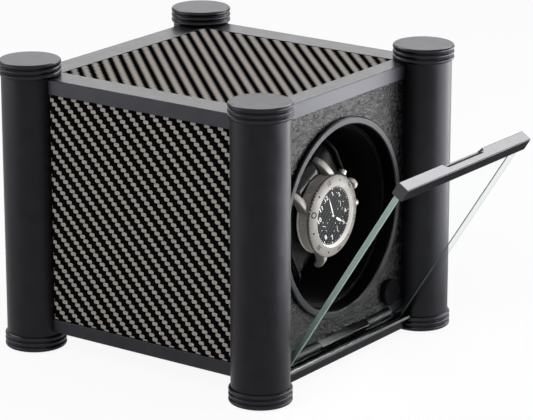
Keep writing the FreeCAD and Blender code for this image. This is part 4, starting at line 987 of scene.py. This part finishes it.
class WINDER_OT_watch_case(bpy.types.Operator):
    """Makes the watch's coin-edged case with lugs, its beaded bezel with plain marks, crown and buttons"""
    bl_idname = "winder.watch_case"
    bl_label = "Watch case"

    SLOPE_IN, SLOPE_OUT, SLOPE_RISE = 17.0 * MM, 21.6 * MM, 1.5 * MM
    SLOPE_BEVEL, LIP_DROP = 0.2 * MM, 0.1 * MM
    # the bezel's zero is turned back from the top, and its lip is made of these rows of its profile
    ZERO_TURN = -45
    LIP_ROWS = (10, 13)
    # height and thickness of the bezel's numbers
    NUMBER = (3.4 * MM, 0.12 * MM)
    LUG_START, LUG_SIDE, LUG_TIP, LUG_BELOW, LUG_FALL = 14.0 * MM, 13.0 * MM, 1.4 * MM, 2.4 * MM, 5.9 * MM
    # where the crown and the buttons stand in degrees, their radius and reach in mm, and their flutes
    STEMS = ((0, 3.2, 4.8, 28), (28, 2.2, 4.2, 0), (-28, 2.2, 4.2, 0))

    def execute(self, context):
        look = context.scene.winder_watch
        made = {}
        # piece, its shells, finish, how much lighter or darker this copy of the one steel is painted (painted
        # light and shade), roughness, how metallic it looks
        for name, shells, finish, light, rough, metallic in (
                ("watch_body", [self.body(look)], "ribbed_steel_painted_light", 1.45, 0.36, 0.2),
                ("watch_lugs", self.lugs(look), "frosted_steel_painted_shade", 0.6, 0.36, 0.25),
                ("watch_bezel", [self.bezel(look)], "satin_steel_painted_shade", 0.34, 0.42, 0.15)):
            steel = self.steel(finish, scaled(look.steel, light), rough, metallic)
            made[name] = new_piece(name, shells, steel, "rotor", "watch_steel")
        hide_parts("watch_case")
        self.polish_lip(made["watch_bezel"].data, look)
        # painted shade: the crown's and buttons' steel is a darker copy of the case steel
        bright = grained("stem_steel_painted_shade", scaled(look.steel, 0.55), 0.2 * MM, 0.26, 0.003 * MM, worn=1.2,
                         Metallic=0.5)
        new_piece("watch_crown", self.stems(look), bright, "rotor", "watch_steel")
        enamel = grained("bezel_enamel", (0.004, 0.004, 0.0045), 0.1 * MM, 0.4, 0.004 * MM,
                         Specular_IOR_Level=0.04)
        new_piece("bezel_marks", self.marks(), enamel, "rotor", "watch_steel")
        return {"FINISHED"}

    def steel(self, name, rgb, rough, metallic):
        """Steel brushed round the watch's axis."""
        material, tree, shader, place = new_finish(name, Metallic=metallic, Specular_IOR_Level=0.3)
        marks = use(tree, lathe_effect, place, 0.10 * MM)
        soft = use(tree, edge_effect, place, 0.12 * MM)
        tone = spread(tree, marks["Height"], 0.0, 1.0)
        base = blend_colour(tree, tone, opaque(rgb, 0.82), opaque(rgb, 1.1))
        # edges painted lighter: partly wear, partly painted highlight
        base = blend_colour(tree, soft["Wear"], base, opaque(rgb, 1.3))
        cover(tree, shader, base, spread(tree, marks["Tone"], rough - 0.05, rough + 0.06))
        bump(tree, shader, marks["Height"], 0.006 * MM, normal=soft["Normal"])
        return material

    def body(self, look):
        """The case turned from its profile; its flank carries fine ribs, like the edge of a coin."""
        r, back = look.case_radius, CASE_BACK
        profile = np.array([(-3.0, 0.0), (-0.7, 0.0), (-0.2, 0.2), (0.0, 0.5), (0.0, 1.0), (-0.45, 1.2),
                            (-0.3, 1.35), (-0.3, 5.9), (-0.45, 6.05), (0.0, 6.25), (0.0, 6.6), (-0.4, 6.95),
                            (-3.0, 7.0)]) * MM
        depth = np.zeros(len(profile))
        depth[6:8] = 0.24 * MM
        return watch_shell(turned(profile + [r, back], look.coin_ribs * STEPS_PER_RIB, look.coin_ribs, depth))

    def bezel(self, look):
        """The bezel turned from its profile: a beaded rim, a satin slope and a lip round the dial."""
        r, front, lip = look.bezel_radius, BEZEL_FRONT, look.dial_radius
        low, foot = front - 3.4 * MM, front - self.SLOPE_RISE
        rim = [(-3, 0), (-0.8, 0.05), (-0.45, 0.3), (-0.35, 0.6), (-0.35, 1.2), (-0.5, 1.55)]
        bevel = self.SLOPE_BEVEL
        slope = [(self.SLOPE_OUT, foot - bevel), (self.SLOPE_OUT - bevel, foot),
                 (self.SLOPE_IN, front - self.LIP_DROP), (self.SLOPE_IN - bevel, front - self.LIP_DROP / 2)]
        inner = [(0.1, -0.1), (0, -0.3), (-0.9, -2.1), (-0.9, -2.7)]
        profile = np.concatenate([np.array(rim) * MM + [r, low], slope, np.array(inner) * MM + [lip, front]])
        depth = np.zeros(len(profile))
        depth[2:6] = np.array([0.2, 0.35, 0.35, 0.2]) * MM
        points = turned(profile, look.knurls * STEPS_PER_RIB, look.knurls, depth)
        return watch_shell(points, wrap_rows=True)

    def polish_lip(self, mesh, look):
        """Gives the bezel's lip round the dial, which is its profile's last rows, a finish that is a lighter
        copy of the steel: painted light.
        """
        # painted light: the lip is a lighter copy of the case steel
        lip_painted_light = grained("lip_steel_painted_light", scaled(look.steel, 1.5), 0.2 * MM, 0.4, 0.001 * MM,
                           tone=0.05, Metallic=0.1)
        mesh.materials.append(lip_painted_light)
        row = np.arange(len(mesh.polygons)) // (look.knurls * STEPS_PER_RIB)
        number_faces(mesh, (row >= self.LIP_ROWS[0]) & (row < self.LIP_ROWS[1]))

    def slope(self, points):
        """Lays flat marks onto the bezel's slope, by each point's own distance from the axis."""
        radius = np.hypot(points[..., 0], points[..., 1])
        start = self.SLOPE_OUT - self.SLOPE_BEVEL
        share_in = (start - radius) / (start - self.SLOPE_IN)
        points[..., 2] += BEZEL_FRONT - self.SLOPE_RISE + (self.SLOPE_RISE - self.LIP_DROP) * share_in
        return points

    def marks(self):
        """A ring at the bezel's zero, plain numbers at every ten minutes from it and dots between them."""
        middle = (self.SLOPE_IN + self.SLOPE_OUT) / 2
        ring = grid_shell(turned(np.array([(1.7, -0.03), (1.7, 0.08), (1.15, 0.08), (1.15, -0.03)]) * MM, 28),
                          wrap_rows=True)
        dot = grid_shell(turned(np.array([(0.55, -0.03), (0.55, 0.06), (0.1, 0.08)]) * MM, 20))
        shells = []
        for minute in range(0, 60, 5):
            mark = numerals(str(minute), *self.NUMBER) if minute % 10 == 0 else dot
            points, blocks = mark if minute else ring
            placed = swung(points + [0, middle, 0], self.ZERO_TURN + DEGREES_PER_MINUTE * minute)
            shells.append((on_watch(self.slope(placed)), blocks))
        return shells

    def lugs(self, look):
        """Four lugs: a rounded section carried along a curve that leaves the case and bends down to the
        strap; the curve is a quarter of an ellipse, and the section thins towards its tip."""
        t = np.linspace(0, 1, 15)
        bend = t * math.pi / 2
        reach = look.lug_reach - self.LUG_TIP
        up = self.LUG_START + (reach - self.LUG_START) * np.sin(bend)
        out = CASE_BACK - self.LUG_BELOW + self.LUG_FALL * np.cos(bend)
        thick = (3.4 - 2.0 * t) * MM
        ahead = np.stack([np.gradient(up), np.gradient(out)], -1)
        ahead /= np.linalg.norm(ahead, axis=1, keepdims=True)
        normal = np.stack([-ahead[:, 1], ahead[:, 0]], -1)
        ring = rounded_rectangle(1.9, 1.0, 0.45, 5) * [MM, 1]
        right = np.broadcast_to(ring[None, :, 0], (len(t), len(ring)))
        over = thick[:, None] * ring[None, :, 1]
        shells = []
        for side in (-1, 1):
            for end in (-1, 1):
                points = np.stack([side * self.LUG_SIDE + right, end * (up[:, None] + normal[:, :1] * over),
                                   out[:, None] + normal[:, 1:] * over], -1)
                shells.append(watch_shell(points))
        return shells

    def stems(self, look):
        """Crown and two buttons: profiles turned about spokes of the watch, the crown with fluted sides."""
        middle = CASE_BACK + 6.0 * MM
        shells = []
        for degrees, radius, length, flutes in self.STEMS:
            root = look.case_radius - 1.2 * MM
            tip = look.case_radius + length * MM
            rim = radius * MM
            profile = [(rim * 0.55, root), (rim * 0.55, tip - 2.9 * MM), (rim * 0.9, tip - 2.7 * MM),
                       (rim, tip - 2.4 * MM), (rim, tip - 0.5 * MM), (rim * 0.93, tip - 0.12 * MM),
                       (rim * 0.8, tip), (rim * 0.2, tip + 0.05 * MM)]
            depth = np.zeros(len(profile))
            depth[3:5] = 0.14 * MM
            stem = turned(profile, max(flutes * 6, 48), flutes, depth)
            angle = math.radians(degrees)
            spoke, side = (np.array([math.cos(a), math.sin(a), 0]) for a in (angle, angle + math.pi / 2))
            points = stem[..., 2:] * spoke + stem[..., :1] * side + stem[..., 1:2] * np.array([0, 0, 1])
            points[..., 2] += middle
            shells.append(watch_shell(points))
        return shells


class WINDER_OT_watch_face(bpy.types.Operator):
    """Makes the dial with its numerals, ticks and small dials, the hands and the crystal over them"""
    bl_idname = "winder.watch_face"
    bl_label = "Watch face"

    SUB_DIALS = (90, 180, 270)
    SUB_PLACE, SUB_RADIUS = 8.3 * MM, 3.6 * MM
    # the dial's depth under the bezel, how far it ends inside the opening, and how far its marks are raised
    DEPTH, INSET, RAISED = 2.0 * MM, 0.8 * MM, 0.05 * MM
    HOURS = (1, 2, 4, 5, 7, 8, 10, 11, 12)
    HOUR_PLACE, HOUR_HEIGHT = 11.9 * MM, 3.7 * MM
    # length and width of the ticks at every fifth minute, and of those between
    LONG_TICK, SHORT_TICK, TICK_END = (1.5 * MM, 0.34 * MM), (0.95 * MM, 0.14 * MM), 0.35 * MM

    def execute(self, context):
        look = context.scene.winder_watch
        level = BEZEL_FRONT - self.DEPTH
        matt = self.woven(look)
        white = grained("dial_print", look.dial_print, 0.1 * MM, 0.45, 0.004 * MM, tone=0.06)
        rim = look.dial_radius - self.INSET
        disc = turned([(rim, level - 0.4 * MM), (rim, level), (10 * MM, level), (0.1 * MM, level)], 128)
        wells = [self.well(turn, level) for turn in self.SUB_DIALS]
        new_piece("watch_dial", [watch_shell(disc), *wells], matt, "rotor", "watch_steel")
        new_piece("dial_marks", self.marks(look, level), white, "rotor", "watch_steel")
        new_piece("watch_hands", self.hands(look, level), white, "rotor", "watch_steel")
        edge = look.dial_radius / MM
        rows = np.array([(0.1, -0.9), (edge - 0.45, -0.9), (edge - 0.05, -0.05), (edge - 0.3, 0.12),
                         (10, 0.32), (5, 0.41), (0.1, 0.44)]) * MM
        dome = turned(rows + [0, BEZEL_FRONT], 96)
        crystal = clear_glass("watch_crystal_glass", 0.3 * MM, (0.97, 0.975, 0.98, 1), (0.99, 0.99, 1, 1),
                              (1, 1, 1, 1), IOR=1.008)
        glass = new_piece("watch_glass", [watch_shell(dome)], crystal, "rotor", "crystal")
        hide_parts("watch_crystal")
        return {"FINISHED"}

    def woven(self, look):
        """The dial's black lacquer over a very fine twill, whose cross tows are painted lighter as painted
        sheen.
        """
        material, tree, shader, place = new_finish("dial_black", Specular_IOR_Level=0.03)
        spot = add(tree, "SeparateXYZ", {0: place}).outputs
        weave = use(tree, twill_effect, spot[0], spot[2], 0.85 * MM, 0.34)
        # painted sheen: the cross tows are thirteen times lighter than the black
        lacquer_and_sheen = blend_colour(tree, weave["Light"], opaque(look.dial), opaque(look.dial, 13.0))
        cover(tree, shader, lacquer_and_sheen, remap(tree, weave["Height"], 0.0, 1.0, 0.55, 0.4))
        bump(tree, shader, weave["Height"], 0.02 * MM, 0.5)
        return material

    def spoke(self, points, radius, degrees):
        """Moves marks drawn at the origin out to a radius, clockwise from the top, and keeps them upright."""
        turn = math.radians(degrees)
        return points + np.array([radius * math.sin(turn), radius * math.cos(turn), 0])

    def well(self, turn, level):
        """A small dial: a raised field of fine grooves, turned from a profile that is a fast cosine."""
        radius = np.linspace(self.SUB_RADIUS, 0.1 * MM, 22)
        height = level + self.RAISED + 0.012 * MM * np.cos(np.arange(len(radius)) * math.pi)
        height[0] = level
        points = turned(np.stack([radius, height], -1), 48)
        return watch_shell(self.spoke(points, self.SUB_PLACE, turn))

    def bar(self, low, high, wide, level):
        """A flat bar from one radius to another, standing upright at the top of the dial."""
        across = np.array([-1, 1, 1, -1]) * wide / 2
        rise = np.array([0, 0, 1, 1]) * self.RAISED + level
        rows = np.array([low, high])
        return np.stack([np.broadcast_to(across, (2, 4)), np.repeat(rows[:, None], 4, axis=1),
                         np.broadcast_to(rise, (2, 4))], -1)

    def marks(self, look, level):
        """Numerals, a tick for each minute, and ticks on each small dial."""
        edge = look.dial_radius - self.INSET
        shells = []
        for minute in range(60):
            long, wide = self.SHORT_TICK if minute % 5 else self.LONG_TICK
            tick = self.bar(edge - long, edge - self.TICK_END, wide, level)
            shells.append(watch_shell(swung(tick, DEGREES_PER_MINUTE * minute)))
        for hour in self.HOURS:
            points, blocks = numerals(str(hour), self.HOUR_HEIGHT, self.RAISED)
            points[:, 2] += level + 0.03 * MM
            placed = self.spoke(points, self.HOUR_PLACE, DEGREES_PER_HOUR * hour)
            shells.append((on_watch(placed), blocks))
        rim, high = self.SUB_RADIUS, level + self.RAISED
        short = self.bar(rim - 1.1 * MM, rim - 0.3 * MM, 0.22 * MM, high)
        for turn in self.SUB_DIALS:
            for quarter in (0, 90, 180, 270):
                shells.append(watch_shell(self.spoke(swung(short, quarter), self.SUB_PLACE, turn)))
        return shells

    def blade(self, length, tail, wide, level):
        """A hand: half width wide * sin of its run to a soft point, ridged along its middle."""
        t = np.linspace(0, 1, 13)
        along = -tail + (length + tail) * t
        half = wide / 2 * (0.35 + 0.65 * np.sin(math.pi * np.clip(t * 0.9 + 0.1, 0, 1))) * (1 - 0.75 * t ** 8)
        across = np.array([-1, 0, 1, 0.7, -0.7])
        rise = np.array([0.06, 0.16, 0.06, 0, 0]) * MM
        return np.stack([half[:, None] * across, np.repeat(along[:, None], 5, axis=1),
                         level + np.broadcast_to(rise, (13, 5))], -1)

    def hands(self, look, level):
        """Hour and minute hands with their cap, and one small hand on each small dial."""
        shells = []
        for length, tail, wide, lift, degrees in ((look.hour_hand, -3.6 * MM, 1.3 * MM, 0.35 * MM, 150.5),
                                                  (look.minute_hand, 0.5 * MM, 0.85 * MM, 0.65 * MM, 8.5)):
            hand = self.blade(length, tail, wide, level + lift)
            shells.append(watch_shell(swung(hand, degrees)))
        for turn, degrees in zip(self.SUB_DIALS, (20, 200, 320)):
            hand = self.blade(2.6 * MM, 0.8 * MM, 0.34 * MM, level + 0.16 * MM)
            shells.append(watch_shell(self.spoke(swung(hand, degrees), self.SUB_PLACE, turn)))
        cap = turned([(0.5 * MM, level), (0.5 * MM, level + 0.85 * MM), (0.4 * MM, level + 0.9 * MM),
                      (0.1 * MM, level + 0.9 * MM)], 32)
        shells.append(watch_shell(cap))
        return shells


class WINDER_OT_stage(bpy.types.Operator):
    """Sets the pale floor, the soft lamps and the camera at the photograph's angle"""
    bl_idname = "winder.stage"
    bl_label = "Stage"

    EYE = (-1.20119, -0.88931, 0.52653)
    BEARING, FALL = math.radians(54.25), math.radians(16.98)

    def execute(self, context):
        look = context.scene.winder_stage
        context.scene.view_settings.view_transform = "Standard"
        self.floor(look)
        self.world(context, look)
        # name, place right of, behind and above the object, where it aims, width, height, radiance;
        # the glows show only as gloss, so that plain colours are lit at a plain level by the two soft lamps
        for glow in (("right_glow", (0.62, 0.10, 0.045), (0, 0.03, 0.10), 0.86, 0.31, 9.0),
                      ("high_glow", (0.58, 0.73, 0.83), (0, -0.05, 0.12), 0.50, 0.50, 16.0),
                      ("high_left_glow", (-0.62, 0.60, 0.95), (0, -0.05, 0.12), 0.44, 0.44, 16.0),
                      ("left_glow", (-0.64, -0.08, 0.05), (0, 0, 0.10), 0.56, 0.30, 3.3),
                      ("back_glow", (0.05, 1.30, 0.62), (0, 0, 0.10), 1.50, 0.60, 1.2)):
            self.lamp(*glow).visible_diffuse = False
        for soft in (("right_soft", (0.62, 0.10, 0.30), (0, 0.03, 0.10), 0.86, 0.56, 2.2),
                     ("left_soft", (-0.75, -0.75, 0.95), (0, 0, 0.08), 1.00, 1.00, 3.4)):
            self.lamp(*soft).visible_glossy = False
        eye = bpy.data.cameras.new("camera")
        eye.sensor_width, eye.lens = 36, look.lens
        camera = bpy.data.objects.new("camera", eye)
        context.scene.collection.objects.link(camera)
        camera.location = self.EYE
        camera.rotation_euler = (math.pi / 2 - self.FALL, 0, -self.BEARING)
        context.scene.camera = camera
        return {"FINISHED"}

    def seen(self, right, back, up):
        """A place given as the camera sees it: to its right, away from it and up."""
        side = np.array([math.cos(self.BEARING), -math.sin(self.BEARING), 0])
        away = np.array([math.sin(self.BEARING), math.cos(self.BEARING), 0])
        return right * side + back * away + np.array([0, 0, up])

    def shown(self, tree):
        """1 for rays from the eye, from gloss and through glass, else 0."""
        path = add(tree, "LightPath").outputs
        both = calc(tree, "MAXIMUM", path["Is Camera Ray"], path["Is Glossy Ray"])
        return calc(tree, "MAXIMUM", both, path["Is Transmission Ray"])

    def floor(self, look):
        """A flat table top: a grid of places right of and behind the object, short of the right glow."""
        right, back = np.meshgrid(np.linspace(-3.0, 0.28, 9), np.linspace(-2.5, 3.5, 13), indexing="ij")
        points = self.seen(right[..., None], back[..., None], -0.2 * MM)
        mesh = make_mesh("floor", [grid_shell(points, wrap_columns=False, caps=False)])
        material, tree, shader, place = new_finish("pale_floor", Roughness=0.75, Specular_IOR_Level=0.2)
        mark = use(tree, grain_effect, place, 0.9 * MM)
        base = blend_colour(tree, mark["Tone"], opaque(look.floor, 0.97), opaque(look.floor, 1.03))
        tree.links.new(base, shader.inputs["Base Color"])
        lift = calc(tree, "MULTIPLY", self.shown(tree), look.floor_white)
        white = add(tree, "Emission").outputs[0]
        mix_surface(tree, lift, shader.outputs[0], white)
        mesh.materials.append(material)
        floor = bpy.data.objects.new("floor", mesh)
        bpy.context.scene.collection.objects.link(floor)

    def world(self, context, look):
        """Even light from all round, white where the eye, gloss or glass sees it."""
        context.scene.world = bpy.data.worlds.new("surround")
        context.scene.world.use_nodes = True
        tree = context.scene.world.node_tree
        plain = tree.nodes["Background"]
        plain.inputs["Color"].default_value = (1, 1, 1, 1)
        plain.inputs["Strength"].default_value = look.surround
        white = add(tree, "Background", {"Color": (1, 1, 1, 1), "Strength": 1.0}).outputs[0]
        mixed = add(tree, "MixShader", {0: self.shown(tree), 1: plain.outputs[0], 2: white}).outputs[0]
        tree.links.new(mixed, tree.nodes["World Output"].inputs["Surface"])

    def lamp(self, name, place, aim, wide, high, radiance):
        """A soft rectangular lamp: its power is pi times its area times the brightness of its face."""
        light = bpy.data.lights.new(name, "AREA")
        light.shape, light.size, light.size_y = "RECTANGLE", wide, high
        light.energy = math.pi * wide * high * radiance
        lamp = bpy.data.objects.new(name, light)
        bpy.context.scene.collection.objects.link(lamp)
        spot = Vector(self.seen(*place))
        lamp.location = spot
        lamp.rotation_euler = (Vector(self.seen(*aim)) - spot).to_track_quat("-Z", "Y").to_euler()
        lamp.visible_camera = False
        return lamp


class WINDER_PT_panel(bpy.types.Panel):
    """Lists the winder's steps in the 3D view's sidebar"""
    bl_idname = "WINDER_PT_panel"
    bl_label = "Watch Winder"
    bl_space_type = "VIEW_3D"
    bl_region_type = "UI"
    bl_category = "Winder"

    def draw(self, context):
        for step in STEPS:
            self.layout.operator(step.bl_idname)


SETTINGS = {"winder_case": CaseFinish, "winder_door": DoorFinish, "winder_cushion": CushionFinish,
            "winder_watch": WatchFinish, "winder_stage": StageFinish}
STEPS = (WINDER_OT_stage, WINDER_OT_metalwork, WINDER_OT_carbon, WINDER_OT_front_leather, WINDER_OT_drive,
         WINDER_OT_back_screws, WINDER_OT_pane, WINDER_OT_cushion, WINDER_OT_strap, WINDER_OT_watch_case,
         WINDER_OT_watch_face)


def register():
    """Registers the settings, the steps and the panel."""
    for kind in (*SETTINGS.values(), *STEPS, WINDER_PT_panel):
        bpy.utils.register_class(kind)
    for name, kind in SETTINGS.items():
        setattr(bpy.types.Scene, name, PointerProperty(type=kind))


def unregister():
    """Takes everything out again."""
    for name in SETTINGS:
        delattr(bpy.types.Scene, name)
    for kind in (WINDER_PT_panel, *STEPS[::-1], *list(SETTINGS.values())[::-1]):
        bpy.utils.unregister_class(kind)


def main():
    """Builds every piece in order."""
    register()
    bpy.ops.winder.stage()
    bpy.ops.winder.metalwork()
    bpy.ops.winder.carbon()
    bpy.ops.winder.front_leather()
    bpy.ops.winder.drive()
    bpy.ops.winder.back_screws()
    bpy.ops.winder.pane()
    bpy.ops.winder.cushion()
    bpy.ops.winder.strap()
    bpy.ops.winder.watch_case()
    bpy.ops.winder.watch_face()


if __name__ == "__main__":
    main()
